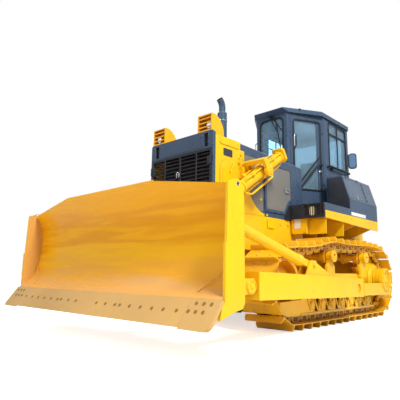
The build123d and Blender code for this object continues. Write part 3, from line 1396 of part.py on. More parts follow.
with BuildPart() as seat:
    with Locations((0, 1850, CAB_SILL_Z + 150)):
        Box(400, 420, 300)
    with Locations((0, 1830, CAB_SILL_Z + 300 + 60)):
        Box(520, 520, 120)
    with Locations((0, 2110, CAB_SILL_Z + 300 + 400)):
        Box(520, 130, 700)
write(seat.part, "operator_seat")

with BuildPart() as console:
    with BuildSketch(Plane.YZ.offset(-190)):
        with BuildLine():
            Polyline(
                (840, CAB_SILL_Z),
                (1060, CAB_SILL_Z),
                (1100, CAB_SILL_Z + 560),
                (1010, CAB_SILL_Z + 760),
                (860, CAB_SILL_Z + 760),
                close=True,
            )
        make_face()
    extrude(amount=380)
    for side in (1, -1):
        with Locations((side * 400, 1880, CAB_SILL_Z + 290)):
            Box(150, 560, 580)
write(console.part, "console")

TANK_BOTTOM = 1290.0
with BuildPart() as tank:
    with BuildSketch(Plane.YZ.offset(-700)):
        with BuildLine():
            Polyline(
                (CAB_REAR_Y + 60, TANK_BOTTOM),
                (2780, TANK_BOTTOM),
                (2780, 1900),
                (2640, 2280),
                (CAB_REAR_Y + 60, 2280),
                close=True,
            )
        make_face()
    extrude(amount=1400)
    pedestal = TANK_BOTTOM - HULL_TOP - RUNNING_CLEARANCE
    with Locations((0, (CAB_REAR_Y + 60 + HULL_REAR_Y) / 2, TANK_BOTTOM - pedestal / 2)):
        Box(2 * HULL_HALF_WIDTH - 60, HULL_REAR_Y - CAB_REAR_Y - 60, pedestal)
write(tank.part, "fuel_tank")

# ---- Blade, push arms and braces ------------------------------------------------------
BLADE_HALF_WIDTH = 1820.0
BLADE_TOP_MIDDLE = 1594.0
BLADE_TOP_END = 1455.0
BLADE_RAISED_HALF = 832.0
EDGE_TOP = (-2686.0, 484.0)
EDGE_TIP = (-2851.6, 261.2)
EDGE_THICKNESS = 32.0
EDGE_LAP = 120.0              # how far the blade's lip reaches down behind the edge
END_PLATE = 28.0
ARM_FRONT_Y = -1830.0
ARM_REAR_Y = 640.0
LIFT_X = 850.0
LIFT_TRUNNION = (-800.0, 2015.0)
LIFT_EYE = (-2150.0, 1120.0)

edge_length = hypot(EDGE_TIP[0] - EDGE_TOP[0], EDGE_TIP[1] - EDGE_TOP[1])


def edge_point(down, back):
    """A point of the blade's section, from the cutting edge's top: down its face, and
    back from it."""
    uy, uz = (EDGE_TIP[0] - EDGE_TOP[0]) / edge_length, (EDGE_TIP[1] - EDGE_TOP[1]) / edge_length
    return (EDGE_TOP[0] + uy * down - uz * back, EDGE_TOP[1] + uz * down + uy * back)


BLADE_BACK_Y = -2300.0
BLADE_PLATE = 24.0
BEAM_HALF_LENGTH = 1745.0     # of the box beams behind the blade's plate
LUG_THICKNESS = 35.0
LUG_INNER = LIFT_X - 85.0
LUG_OUTER = LIFT_X + 50.0
BACK_RIBS = (1700.0, 1400.0, 900.0, 765.0, 400.0)
RIB_THICKNESS = 20.0

# the blade's hollow face, from its top edge down to the cutting edge
face_points = [
    (-2620.0, BLADE_TOP_MIDDLE),
    (-2530.0, 1460.0),
    (-2446.0, 1320.0),
    (-2412.0, 1170.0),
    (-2414.0, 1030.0),
    (-2430.0, 870.0),
    (-2470.0, 712.0),
    (-2540.0, 602.0),
    (-2616.0, 532.0),
    EDGE_TOP,
]


def behind_face(distance):
    """The face's points moved square to it, towards the blade's back."""
    moved = []
    for i, point in enumerate(face_points):
        before, after = face_points[max(i - 1, 0)], face_points[min(i + 1, len(face_points) - 1)]
        dy, dz = after[0] - before[0], after[1] - before[1]
        length = hypot(dy, dz)
        moved.append((point[0] - dz / length * distance, point[1] + dy / length * distance))
    return moved


plate_back = behind_face(BLADE_PLATE)
with BuildPart() as moldboard:
    with BuildSketch(Plane.YZ.offset(-BLADE_HALF_WIDTH)):
        with BuildLine():
            face = Spline(*face_points)
            back = Spline(*plate_back[:-1])
            Line(face @ 0, back @ 0)
            Polyline(
                face @ 1,
                edge_point(0, EDGE_THICKNESS + RUNNING_CLEARANCE),
                edge_point(EDGE_LAP, EDGE_THICKNESS + RUNNING_CLEARANCE),
                edge_point(EDGE_LAP, EDGE_THICKNESS + 45),
                (-2540, 500),
                back @ 1,
            )
        make_face()
    extrude(amount=2 * BLADE_HALF_WIDTH)
    # the box beams, the top rail and the upright ribs, up to the back of the plate
    with BuildSketch(Plane.YZ.offset(-BEAM_HALF_LENGTH)):
        with BuildLine():
            Polyline(
                (-2640, 470), (-2400, 455), (BLADE_BACK_Y, 500), (BLADE_BACK_Y, 800), (-2420, 850),
                (-2700, 850), close=True,
            )
        make_face()
        with BuildLine():
            Polyline(
                (-2600, 1150), (BLADE_BACK_Y, 1150), (BLADE_BACK_Y, 1330), (-2340, 1370),
                (-2600, 1370), close=True,
            )
        make_face()
        with BuildLine():
            Polyline((-2700, 1545), (-2540, 1545), (-2540, 1585), (-2700, 1585), close=True)
        make_face()
        with BuildLine():
            plate_edge = Spline(*behind_face(BLADE_PLATE - 6))
            Polyline(
                plate_edge @ 0, (-3000, 1700), (-3000, 400), (-2700, 400), plate_edge @ 1
            )
        make_face(mode=Mode.SUBTRACT)
    extrude(amount=2 * BEAM_HALF_LENGTH)
    rib_xs = [side * x for x in BACK_RIBS for side in (1, -1)] + [0.0]
    for x in rib_xs:
        with BuildSketch(Plane.YZ.offset(x - RIB_THICKNESS / 2)):
            with BuildLine():
                Polyline(
                    (-2640, 480), (-2400, 470), (BLADE_BACK_Y, 520), (BLADE_BACK_Y, 1330),
                    (-2500, 1575), (-2700, 1575), close=True,
                )
            make_face()
            with BuildLine():
                plate_edge = Spline(*behind_face(BLADE_PLATE - 6))
                Polyline(
                    plate_edge @ 0, (-3000, 1700), (-3000, 400), (-2700, 400), plate_edge @ 1
                )
            make_face(mode=Mode.SUBTRACT)
        extrude(amount=RIB_THICKNESS)
    # the lugs that hold the lift rods' eyes
    for side in (1, -1):
        for x in (LUG_INNER, LUG_OUTER):
            start = side * x if side == 1 else -x - LUG_THICKNESS
            with BuildSketch(Plane.YZ.offset(start)):
                with BuildLine():
                    front = (BLADE_BACK_Y - 60, 1000)
                    low = Line(front, (LIFT_EYE[0] - 10, LIFT_EYE[1] - 62))
                    nose = ThreePointArc(
                        low @ 1, (LIFT_EYE[0] + 62, LIFT_EYE[1]), (LIFT_EYE[0] - 10, LIFT_EYE[1] + 62)
                    )
                    Polyline(nose @ 1, (BLADE_BACK_Y - 60, 1260), front)
                make_face()
            extrude(amount=LUG_THICKNESS)
    # the top edge falls away on both sides of the raised middle
    for side in (1, -1):
        with BuildSketch(Plane.XZ.offset(3000)):
            with BuildLine():
                Polyline(
                    (side * BLADE_RAISED_HALF, BLADE_TOP_MIDDLE + 40),
                    (side * BLADE_RAISED_HALF, BLADE_TOP_MIDDLE),
                    (side * (BLADE_HALF_WIDTH + 10), BLADE_TOP_END),
                    (side * (BLADE_HALF_WIDTH + 10), BLADE_TOP_MIDDLE + 40),
                    close=True,
                )
            make_face()
        extrude(amount=-1500, mode=Mode.SUBTRACT)
write(moldboard.part, "moldboard")

EAR = (-2495.0, 1448.0)
with BuildPart() as end_plate:
    with BuildSketch(Plane.YZ.offset(BLADE_HALF_WIDTH)):
        with BuildLine():
            crown = ThreePointArc((-2545, 1482), (-2480, 1486), (-2440, 1440))
            Polyline(
                crown @ 1,
                (-2410, 1350),
                (-2404, 440),
                (-2436, 398),
                (-2535, 380),
                (-2716, 324),
                edge_point(60, EDGE_THICKNESS + 1),
                edge_point(0, EDGE_THICKNESS + 1),
                (-2655, 505),
                (-2653, 930),
                (-2640, 936),
                (-2624, 1452),
                crown @ 0,
            )
        make_face()
        with Locations(EAR):
            Circle(21, mode=Mode.SUBTRACT)
    extrude(amount=END_PLATE)
write(both_sides(end_plate.part), "end_plates")

# The cutting edge: a middle and two side lengths, with heavier end bits outside them, all
# held by bolts whose heads lie in their front face.
EDGE_SEAM_X = 564.0
END_BIT_WIDTH = 338.0
END_BIT_DROP = 14.0           # of the end bits' lower edge below the middle's
END_BEVEL_RUN = 190.0         # how far in from the end the bevel starts at the lower edge
END_BEVEL_ANGLE = 7.0
END_CORNER_RADIUS = 66.0
EDGE_BOLT_RADIUS = 13.0
EDGE_BOLT_DOWN = 131.0
EDGE_BOLTS_X = (201.0, 361.0, 524.0, 604.0, 757.0, 920.0, 1081.0, 1235.0, 1403.0)
END_BOLTS = ((308, 126), (224, 126), (142, 126), (260, 48), (174, 48), (90, 48))   # from the end
end_bit_half = BLADE_HALF_WIDTH + END_PLATE
end_bit_x = end_bit_half - END_BIT_WIDTH
end_bolts = [(end_bit_half - inwards, down) for inwards, down in END_BOLTS]
out_y, out_z = edge_point(0, -1)
edge_face = Plane(
    origin=(0, *EDGE_TOP), x_dir=(1, 0, 0), z_dir=(0, out_y - EDGE_TOP[0], out_z - EDGE_TOP[1])
)


def edge_bar(start, end, overhang, thickness):
    """A length of the cutting edge, bevelled behind its lower edge."""
    with BuildPart() as bar:
        with BuildSketch(Plane.YZ.offset(start)):
            tip = edge_point(edge_length + overhang, 0)
            with BuildLine():
                Polyline(
                    edge_point(0, 0),
                    tip,
                    (tip[0] + thickness * 0.9, tip[1]),
                    edge_point(0.75 * edge_length, thickness),
                    edge_point(0, thickness),
                    close=True,
                )
            make_face()
        extrude(amount=end - start)
    return bar.part


def bolt_holes(places):
    """The sinkings over a row of bolt heads, as one cutter."""
    with BuildPart() as cutter:
        with BuildSketch(edge_face.offset(10)):
            for x, down in places:
                with Locations((x, -down)):
                    Circle(EDGE_BOLT_RADIUS)
        extrude(amount=-24)
    return cutter.part


edges = []
for start, end in ((-EDGE_SEAM_X, EDGE_SEAM_X), (EDGE_SEAM_X, end_bit_x)):
    bar = edge_bar(start + 1, end - 1, 0, EDGE_THICKNESS)
    xs = [x for x in EDGE_BOLTS_X if start < x < end]
    xs += [-x for x in EDGE_BOLTS_X if start < -x < end]
    bar -= bolt_holes([(x, EDGE_BOLT_DOWN) for x in xs])
    edges.append(bar)
edges.append(mirror(edges[1], about=Plane.YZ))
write(Part() + edges, "cutting_edge")

end_bit = edge_bar(end_bit_x + 1, end_bit_half, END_BIT_DROP, EDGE_THICKNESS)
end_bit -= bolt_holes(end_bolts)
# its outer face is bevelled back from a slanting line, and its lower outer corner is round
bevel_start = Vector(end_bit_half, -6, 0)
bevel_end = Vector(end_bit_half - END_BEVEL_RUN, -edge_length - END_BIT_DROP, 0)
bevel_plane = Plane(
    origin=edge_face.from_local_coords(bevel_start),
    x_dir=edge_face.from_local_coords(bevel_end) - edge_face.from_local_coords(bevel_start),
    z_dir=edge_face.z_dir,
)
with BuildPart() as end_cutter:
    with BuildSketch(bevel_plane.rotated((-END_BEVEL_ANGLE, 0, 0))):
        with Locations((200, 200)):
            Rectangle(600, 400)
    extrude(amount=80)
    with BuildSketch(edge_face.offset(100)):
        with Locations((end_bit_half, -edge_length - END_BIT_DROP)):
            Rectangle(2 * END_CORNER_RADIUS, 2 * END_CORNER_RADIUS)
        with Locations(
            (
                end_bit_half - END_CORNER_RADIUS,
                END_CORNER_RADIUS - edge_length - END_BIT_DROP,
            )
        ):
            Circle(END_CORNER_RADIUS, mode=Mode.SUBTRACT)
    extrude(amount=-300)
end_bit -= end_cutter.part
write(both_sides(end_bit), "end_bits")

BRACE_FOOT = (-660.0, 786.0)
BRACE_TUBE_START = 205.0      # from the pin at its foot up to the shoulder of the tube
BRACE_HEAD = (-2320.0, 1220.0)
BRACE_RADIUS = 58.0
JOINT_Y = -1910.0             # of the round joint in front of each push arm
JOINT_Z = 566.0
JOINT_RADIUS = 78.0
brace_x = (ARM_INNER_X + ARM_OUTER_X) / 2
arm_slope = (709.0 - 632.0) / (ARM_FRONT_Y - ARM_REAR_Y)


def arm_top(y):
    """Height of the push arm's upper face."""
    return 632.0 + arm_slope * (y - ARM_REAR_Y)


with BuildPart() as push_arm:
    with BuildSketch(Plane.YZ.offset(ARM_INNER_X)):
        with BuildLine():
            Polyline(
                (ARM_FRONT_Y, 430),
                (ARM_REAR_Y, 382),
                (ARM_REAR_Y, arm_top(ARM_REAR_Y)),
                (ARM_FRONT_Y, arm_top(ARM_FRONT_Y)),
                close=True,
            )
        make_face()
        with Locations((ARM_PIVOT_Y, ARM_PIVOT_Z)):
            Circle(TRUNNION_RADIUS + 0.5, mode=Mode.SUBTRACT)
    extrude(amount=ARM_OUTER_X - ARM_INNER_X)
    # the neck with the round joint across it, and the forked bracket on the blade's back
    with Locations((brace_x, (JOINT_Y + ARM_FRONT_Y) / 2, JOINT_Z)):
        Box(100, ARM_FRONT_Y - JOINT_Y + 20, 150)
    with BuildSketch(Plane.YZ.offset(ARM_INNER_X + 35)):
        with Locations((JOINT_Y, JOINT_Z)):
            Circle(JOINT_RADIUS)
    extrude(amount=ARM_OUTER_X - ARM_INNER_X - 70)
    for x in (ARM_INNER_X + 45, ARM_OUTER_X - 75):
        with BuildSketch(Plane.YZ.offset(x)):
            with BuildLine():
                Polyline(
                    (BLADE_BACK_Y + RUNNING_CLEARANCE, JOINT_Z - 130),
                    (JOINT_Y - 20, JOINT_Z - 66),
                    (JOINT_Y - 20, JOINT_Z + 66),
                    (BLADE_BACK_Y + RUNNING_CLEARANCE, JOINT_Z + 130),
                    close=True,
                )
            make_face()
        extrude(amount=30)
write_pair(push_arm.part, "push_arm")

with BuildPart() as brace:
    foot, head = Vector(brace_x, *BRACE_FOOT), Vector(brace_x, *BRACE_HEAD)
    brace_axis = Plane(origin=foot, z_dir=head - foot)
    brace_length = (head - foot).length
    with BuildSketch(brace_axis.offset(BRACE_TUBE_START)):
        Circle(BRACE_RADIUS)
    extrude(amount=brace_length + 80 - BRACE_TUBE_START)
    with BuildSketch(brace_axis.offset(BRACE_TUBE_START - 46)):
        Circle(BRACE_RADIUS - 20)
    extrude(amount=brace_length / 2)
    with BuildSketch(Plane.XZ.offset(-BLADE_BACK_Y + 300)):
        with Locations((brace_x, 1500)):
            Rectangle(600, 1500)
    extrude(amount=-300 - RUNNING_CLEARANCE, mode=Mode.SUBTRACT)
    # the eye at its foot, between the two cheeks of the bracket on the push arm
    with BuildSketch(Plane.YZ.offset(brace_x - 40)):
        with Locations(BRACE_FOOT):
            Circle(64)
    extrude(amount=80)
    with BuildSketch(brace_axis.offset(20)):
        Rectangle(80, 76)
    extrude(amount=BRACE_TUBE_START - 20)
    for side in (1, -1):
        with BuildSketch(Plane.YZ.offset(brace_x + side * 40.5)):
            with BuildLine():
                Polyline(
                    (BRACE_FOOT[0] - 178, arm_top(BRACE_FOOT[0] - 178) + RUNNING_CLEARANCE),
                    (BRACE_FOOT[0] + 464, arm_top(BRACE_FOOT[0] + 464) + RUNNING_CLEARANCE),
                    (BRACE_FOOT[0] + 62, BRACE_FOOT[1] + 34),
                    (BRACE_FOOT[0] + 44, BRACE_FOOT[1] + 62),
                    (BRACE_FOOT[0] - 70, BRACE_FOOT[1] + 62),
                    close=True,
                )
            make_face()
        extrude(amount=side * 24)
    with BuildSketch(Plane.YZ.offset(brace_x - 74)):
        with Locations(BRACE_FOOT):
            Circle(30)
    extrude(amount=148)
write(both_sides(brace.part), "blade_braces")

# ---- Lift cylinders -------------------------------------------------------------------
TUBE_RADIUS = 76.0
BORE_RADIUS = 60.0
ROD_RADIUS = 34.0
TUBE_FRONT = 600.0            # from the trunnions towards the rod's eye
TUBE_REAR = 590.0
YOKE_HALF = 120.0
COLLARS = (                   # from the trunnions forwards: start, length, radius
    (-TUBE_REAR + 44.0, 40.0, 86.0),
    (-48.0, 96.0, 92.0),
    (TUBE_FRONT - 120.0, 26.0, 86.0),
    (TUBE_FRONT - 78.0, 78.0, 88.0),
)

trunnion = Vector(LIFT_X, *LIFT_TRUNNION)
eye = Vector(LIFT_X, *LIFT_EYE)
lift_length = (eye - trunnion).length
lift_axis = Plane(origin=trunnion, x_dir=(1, 0, 0), z_dir=eye - trunnion)

with BuildPart() as barrel:
    with BuildSketch(lift_axis.offset(-TUBE_REAR)):
        Circle(TUBE_RADIUS)
    extrude(amount=TUBE_REAR + TUBE_FRONT)
    # the cap's flange at the rear, cut away where the engine door swings below it
    with BuildSketch(lift_axis.offset(-TUBE_REAR)):
        Polygon(
            (-98, 24),
            (-74, 112),
            (72, 124),
            (104, 92),
            (104, -50),
            (78, -84),
            (-36, -84),
            (-84, -40),
            align=None,
        )
    extrude(amount=44)
    # collars: the cap behind the flange, the band of the trunnions and the gland's rings
    for start, length, radius in COLLARS:
        with BuildSketch(lift_axis.offset(start)):
            Circle(radius)
        extrude(amount=length)
    with BuildSketch(lift_axis.offset(-TUBE_REAR + 50)):
        Circle(BORE_RADIUS)
    extrude(amount=TUBE_REAR + TUBE_FRONT - 50 - 60, mode=Mode.SUBTRACT)
    with BuildSketch(lift_axis.offset(TUBE_FRONT - 100)):
        Circle(ROD_RADIUS + 0.3)
    extrude(amount=200, mode=Mode.SUBTRACT)
    for side in (1, -1):
        with BuildSketch(Plane.YZ.offset(LIFT_X + side * (TUBE_RADIUS - 10))):
            with Locations(LIFT_TRUNNION):
                Circle(36)
        extrude(amount=side * (YOKE_HALF + 40 - TUBE_RADIUS + 10))
write_pair(barrel.part, "lift_barrel")

with BuildPart() as rod:
    with BuildSketch(lift_axis.offset(lift_length - 1605)):
        Circle(ROD_RADIUS)
    extrude(amount=1605 - 50)
    with BuildSketch(lift_axis.offset(lift_length - 1605)):
        Circle(BORE_RADIUS - 0.4)
    extrude(amount=60)
    with BuildSketch(Plane.YZ.offset(LIFT_X - 38)):
        with Locations(LIFT_EYE):
            Circle(62)
    extrude(amount=76)
write_pair(rod.part, "lift_rod")

# The yoke's bridge lies square to the cylinder, above it, where the cylinder's swing
# leaves room; its foot is bolted to the hood's side.
YOKE_BRIDGE = 128.0           # from the trunnions to the underside of the bridge
YOKE_BAR = 52.0
YOKE_CHEEK = 45.0
with BuildPart() as yoke:
    for side in (1, -1):
        with BuildSketch(Plane.YZ.offset(LIFT_X + side * YOKE_HALF)):
            with Locations(LIFT_TRUNNION):
                Circle(75)
                Circle(36.5, mode=Mode.SUBTRACT)
        extrude(amount=side * YOKE_CHEEK)
    with BuildSketch(lift_axis.offset(-45)):
        with Locations((0, YOKE_BRIDGE + YOKE_BAR / 2)):
            Rectangle(2 * (YOKE_HALF + YOKE_CHEEK), YOKE_BAR)
        for side in (1, -1):
            with Locations((side * (YOKE_HALF + YOKE_CHEEK / 2), (60 + YOKE_BRIDGE) / 2)):
                Rectangle(YOKE_CHEEK, YOKE_BRIDGE - 60 + 10)
    extrude(amount=90)
    with Locations(
        (
            (HOOD_SIDE_X + LIFT_X - YOKE_HALF - YOKE_CHEEK) / 2 + 3,
            LIFT_TRUNNION[0] - 60,
            LIFT_TRUNNION[1],
        )
    ):
        Box(LIFT_X - YOKE_HALF - YOKE_CHEEK - HOOD_SIDE_X - 5, 200, 160)
    # the flange bolted to the guard's side, with two round bosses
    with BuildSketch(Plane.YZ.offset(GUARD_HALF_WIDTH + RUNNING_CLEARANCE)):
        with BuildLine():
            Polyline(
                (LIFT_TRUNNION[0] - 190, LIFT_TRUNNION[1] - 60),
                (LIFT_TRUNNION[0] - 60, LIFT_TRUNNION[1] - 110),
                (LIFT_TRUNNION[0] + 70, LIFT_TRUNNION[1] - 60),
                (LIFT_TRUNNION[0] + 30, LIFT_TRUNNION[1] + 176),
                (LIFT_TRUNNION[0] - 130, LIFT_TRUNNION[1] + 176),
                close=True,
            )
        make_face()
    extrude(amount=26)
    with BuildSketch(Plane.YZ.offset(GUARD_HALF_WIDTH + 20)):
        for y, z in ((-65, 121), (-101, 35)):
            with Locations((LIFT_TRUNNION[0] + y, LIFT_TRUNNION[1] + z)):
                Circle(34)
    extrude(amount=40)
write(both_sides(yoke.part), "lift_yokes")

DRAWBAR_REAR_Y = 2860.0
DRAWBAR_PIN_RADIUS = 31.0
with BuildPart() as drawbar:
    with Locations((0, HULL_REAR_Y + 20 + RUNNING_CLEARANCE, 760)):
        Box(420, 40, 260)
    for z in (690, 800):
        with BuildSketch(Plane.XY.offset(z)):
            with Locations((0, (HULL_REAR_Y + 20 + DRAWBAR_REAR_Y - 110) / 2)):
                Rectangle(220, DRAWBAR_REAR_Y - 110 - HULL_REAR_Y - 20)
            with Locations((0, DRAWBAR_REAR_Y - 110)):
                Circle(110)
                Circle(DRAWBAR_PIN_RADIUS, mode=Mode.SUBTRACT)
        extrude(amount=40)
write(drawbar.part, "drawbar")
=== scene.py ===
import math

import bmesh
import bpy
from mathutils import Matrix, Vector


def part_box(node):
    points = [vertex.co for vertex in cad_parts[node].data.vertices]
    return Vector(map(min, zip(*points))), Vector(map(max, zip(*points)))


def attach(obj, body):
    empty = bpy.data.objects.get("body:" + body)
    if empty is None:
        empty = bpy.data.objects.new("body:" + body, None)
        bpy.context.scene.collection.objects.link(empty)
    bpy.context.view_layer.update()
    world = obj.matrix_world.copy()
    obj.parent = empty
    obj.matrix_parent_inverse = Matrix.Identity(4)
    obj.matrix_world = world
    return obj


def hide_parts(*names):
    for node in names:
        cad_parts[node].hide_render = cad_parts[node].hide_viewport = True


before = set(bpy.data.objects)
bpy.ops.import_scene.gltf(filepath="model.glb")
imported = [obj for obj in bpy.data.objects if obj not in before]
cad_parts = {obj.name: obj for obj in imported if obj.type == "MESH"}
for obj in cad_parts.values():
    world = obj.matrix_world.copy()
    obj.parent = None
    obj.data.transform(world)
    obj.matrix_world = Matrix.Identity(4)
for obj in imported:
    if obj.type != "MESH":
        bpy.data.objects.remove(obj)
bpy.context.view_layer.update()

# ---- Standing place -------------------------------------------------------------------
# The machine is parked on a white studio floor and is seen from low down at its front left
# corner. One broad lamp stands far out on its left, weaker ones in front and behind, and
# the pale room fills in the rest.
FILM_WIDTH = 36.0  # millimetres, like the focal length
FOCAL_LENGTH = 37.97082
EYE = (4.079, -5.254, 0.694)
YAW, TILT, ROLL = (math.radians(angle) for angle in (42.125, 10.147, 0.541))
AIM = Vector((0, 0, 1.3))  # what the lamps point at

scene = bpy.context.scene
scene.view_settings.view_transform = "Standard"
ahead = Vector((-math.sin(YAW) * math.cos(TILT), math.cos(YAW) * math.cos(TILT), math.sin(TILT)))
level = ahead.cross(Vector((0, 0, 1))).normalized()
upright = level.cross(ahead)
across = level * math.cos(ROLL) + upright * math.sin(ROLL)
upward = upright * math.cos(ROLL) - level * math.sin(ROLL)
lens = bpy.data.cameras.new("viewpoint")
lens.sensor_width = FILM_WIDTH
lens.lens = FOCAL_LENGTH
lens.shift_x = -0.0379
lens.shift_y = -0.0071
lens.clip_end = 200
viewpoint = bpy.data.objects.new("viewpoint", lens)
bearing = Matrix((across, upward, -ahead)).transposed().to_4x4()
viewpoint.matrix_world = Matrix.Translation(EYE) @ bearing
scene.collection.objects.link(viewpoint)
scene.camera = viewpoint

for name, place, size, power, colour in (
    ("left_lamp", (9.0, -3.6, 10.5), 3.0, 1700.0, (1.0, 0.985, 0.95)),
    ("front_lamp", (-1.5, -11.0, 6.0), 4.0, 150.0, (1.0, 0.98, 0.95)),
    ("rear_lamp", (-8.0, 9.0, 6.0), 6.0, 460.0, (0.95, 0.98, 1.0)),
):
    lamp = bpy.data.lights.new(name, "AREA")
    lamp.shape = "DISK"
    lamp.size = size
    lamp.energy = power
    lamp.color = colour
    holder = bpy.data.objects.new(name, lamp)
    holder.location = place
    holder.rotation_euler = (AIM - Vector(place)).to_track_quat("-Z", "Y").to_euler()
    scene.collection.objects.link(holder)


def connect(tree, node, inputs):
    """Set a node's inputs, each to a plain value or to another node's output."""
    for socket, value in inputs.items():
        if isinstance(value, bpy.types.NodeSocket):
            tree.links.new(value, node.inputs[socket])
        else:
            node.inputs[socket].default_value = value


def add(tree, kind, inputs=None, **settings):
    """Add a shader node with these settings and inputs."""
    made = tree.nodes.new("ShaderNode" + kind)
    for setting, value in settings.items():
        setattr(made, setting, value)
    connect(tree, made, inputs or {})
    return made


def spread(tree, value, low, high, to_low=0.0, to_high=1.0):
    """Carry a value from one range over to another, held at both ends."""
    ends = {"Value": value, "From Min": low, "From Max": high, "To Min": to_low, "To Max": to_high}
    return add(tree, "MapRange", ends).outputs["Result"]


def seen_straight(tree):
    """One where a surface is looked at straight or through glass, else nought."""
    path = add(tree, "LightPath").outputs
    rays = {0: path["Is Camera Ray"], 1: path["Is Transmission Ray"]}
    return add(tree, "Math", rays, operation="MAXIMUM").outputs[0]


room = bpy.data.worlds.new("pale_room")
room.use_nodes = True
scene.world = room
air = room.node_tree
air.nodes.clear()
glow = add(air, "Background", {"Color": (0.93, 0.96, 1.0, 1), "Strength": 0.5})
white = add(air, "Background", {"Color": (1, 1, 1, 1), "Strength": 1.0})
pick = add(air, "MixShader", {0: seen_straight(air), 1: glow.outputs[0], 2: white.outputs[0]})
add(air, "OutputWorld", {"Surface": pick.outputs[0]})

ground = bmesh.new()
bmesh.ops.create_grid(ground, x_segments=1, y_segments=1, size=60)
floor_mesh = bpy.data.meshes.new("studio_floor")
ground.to_mesh(floor_mesh)
ground.free()
floor = bpy.data.objects.new("studio_floor", floor_mesh)
scene.collection.objects.link(floor)
# the floor is pale, and away from the machine it glows as white as the backdrop
pale = bpy.data.materials.new("pale_floor")
pale.use_nodes = True
net = pale.node_tree
matt = net.nodes["Principled BSDF"]
connect(net, matt, {"Base Color": (0.86, 0.86, 0.86, 1), "Roughness": 0.9})
far = add(net, "VectorMath", {0: add(net, "TexCoord").outputs["Object"]}, operation="LENGTH")
whiter = spread(net, far.outputs["Value"], 1.5, 7.0, 0.62, 1.0)
strength = add(net, "Math", {0: whiter, 1: seen_straight(net)}, operation="MULTIPLY")
shine = add(net, "Emission", {"Strength": strength.outputs[0]})
both = add(net, "AddShader", {0: matt.outputs[0], 1: shine.outputs[0]})
connect(net, net.nodes["Material Output"], {"Surface": both.outputs[0]})
floor_mesh.materials.append(pale)


# ---- Yellow steelwork -----------------------------------------------------------------
# Hull, guard, fenders, track frames, arms and cylinders are welded steel, sprayed with one
# gloss yellow enamel that drifts a little in tone, holds dust and is rubbed thin on edges.
SIDES = ((1, "left"), (-1, "right"))
DRY_EARTH = (0.34, 0.25, 0.15)
CORNER_SHADE_TINT = (0.46, 0.30, 0.12)  # how much of each colour is left in a corner's painted shade


def coating(name, slot, constants):
    """A new material, with what is the same all over set on the shader's own sockets."""
    made = bpy.data.materials.new(name)
    made["slot"] = slot
    made.use_nodes = True
    skin = made.node_tree.nodes["Principled BSDF"]
    connect(made.node_tree, skin, constants)
    return made, made.node_tree, skin


def noise(tree, scale, detail, rough=0.5, vector=None):
    """Cloudy change from place to place, which stays with the piece."""
    if vector is None:
        vector = add(tree, "TexCoord").outputs["Object"]
    inputs = {"Vector": vector, "Scale": scale, "Detail": detail, "Roughness": rough}
    return add(tree, "TexNoise", inputs).outputs["Fac"]


def tint(tree, factor, first, second):
    """Blend two colours, each plain or another node's output."""
    first, second = [(*c[:3], 1) if isinstance(c, tuple) else c for c in (first, second)]
    mix = add(tree, "Mix", data_type="RGBA")
    connect(tree, mix, {"Factor": factor, "A": first, "B": second})
    return mix.outputs["Result"]


def enamel(
    name, slot, colour, worn, rough=0.3, dust=0.18, drift=0.1, coat=0.45, rub=0.5, shade_depth=0.45, top=0.0
):
    """Sprayed paint: tone drift, dust in patches, orange peel, edges rubbed pale, painted shade in gaps
    and, where top is set, a painted highlight on upward faces.
    """
    reflection = [0.35 + 0.65 * c / max(colour) for c in colour]
    paint, tree, skin = coating(
        name,
        slot,
        {
            "Coat Weight": coat,
            "Coat Roughness": 0.07,
            "Specular IOR Level": 0.35,
            "Specular Tint": (*reflection, 1),
        },
    )
    # an edge is where the normal of a slightly rounded surface leaves the true one
    round_way = add(tree, "Bevel", {"Radius": 0.006}, samples=4).outputs["Normal"]
    true_way = add(tree, "NewGeometry").outputs["Normal"]
    bend = add(tree, "VectorMath", {0: round_way, 1: true_way}, operation="DOT_PRODUCT")
    edge = spread(tree, bend.outputs["Value"], 0.995, 0.8)
    flecks = spread(tree, noise(tree, 7, 5), 0.38, 0.66, 0.1, rub)
    rubbed = add(tree, "Math", {0: edge, 1: flecks}, operation="MULTIPLY").outputs[0]
    darker = tuple(c * (1 - drift) for c in colour)
    lighter = tuple(min(1, c * (1 + drift * 0.5)) for c in colour)
    tone = tint(tree, spread(tree, noise(tree, 0.8, 4), 0.35, 0.65), darker, lighter)
    grime = tuple(0.55 * c + 0.45 * d for c, d in zip(colour, DRY_EARTH))
    surface = tint(tree, spread(tree, noise(tree, 4.5, 8, 0.62), 0.5, 0.78, 0, dust), tone, grime)
    # painted shade: the colour darkens where pieces meet and in narrow gaps
    corner = add(tree, "AmbientOcclusion", {"Distance": 0.13}, samples=6).outputs["AO"]
    corner_shade_colour = tuple(c * d for c, d in zip(colour, CORNER_SHADE_TINT))
    surface = tint(tree, spread(tree, corner, 0.15, 0.85, shade_depth, 0.0), surface, corner_shade_colour)
    if top:
        # painted highlight: faces that look up are made paler
        height = add(tree, "SeparateXYZ", {0: true_way}).outputs["Z"]
        top_highlight = tuple(0.55 * c + 0.30 for c in colour)
        surface = tint(tree, spread(tree, height, 0.06, 0.5, 0.0, top), surface, top_highlight)
    peel = {"Strength": 0.05, "Distance": 0.004, "Height": noise(tree, 70, 3), "Normal": round_way}
    finish = {
        "Base Color": tint(tree, rubbed, surface, worn),
        "Roughness": spread(tree, noise(tree, 5, 6), 0.3, 0.75, rough - 0.06, rough + 0.2),
        "Normal": add(tree, "Bump", peel).outputs["Normal"],
    }
    connect(tree, skin, finish)
    return paint


def dress(coat, *names):
    """Give each CAD node that finish."""
    for name in names:
        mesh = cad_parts[name].data
        mesh.materials.clear()
        mesh.materials.append(coat)


yellow = enamel("yellow_enamel", "yellow_paint", (0.97, 0.57, 0.006), (1.0, 0.84, 0.30), coat=0.3)
dress(yellow, "main_frame", "hull_shoulders")


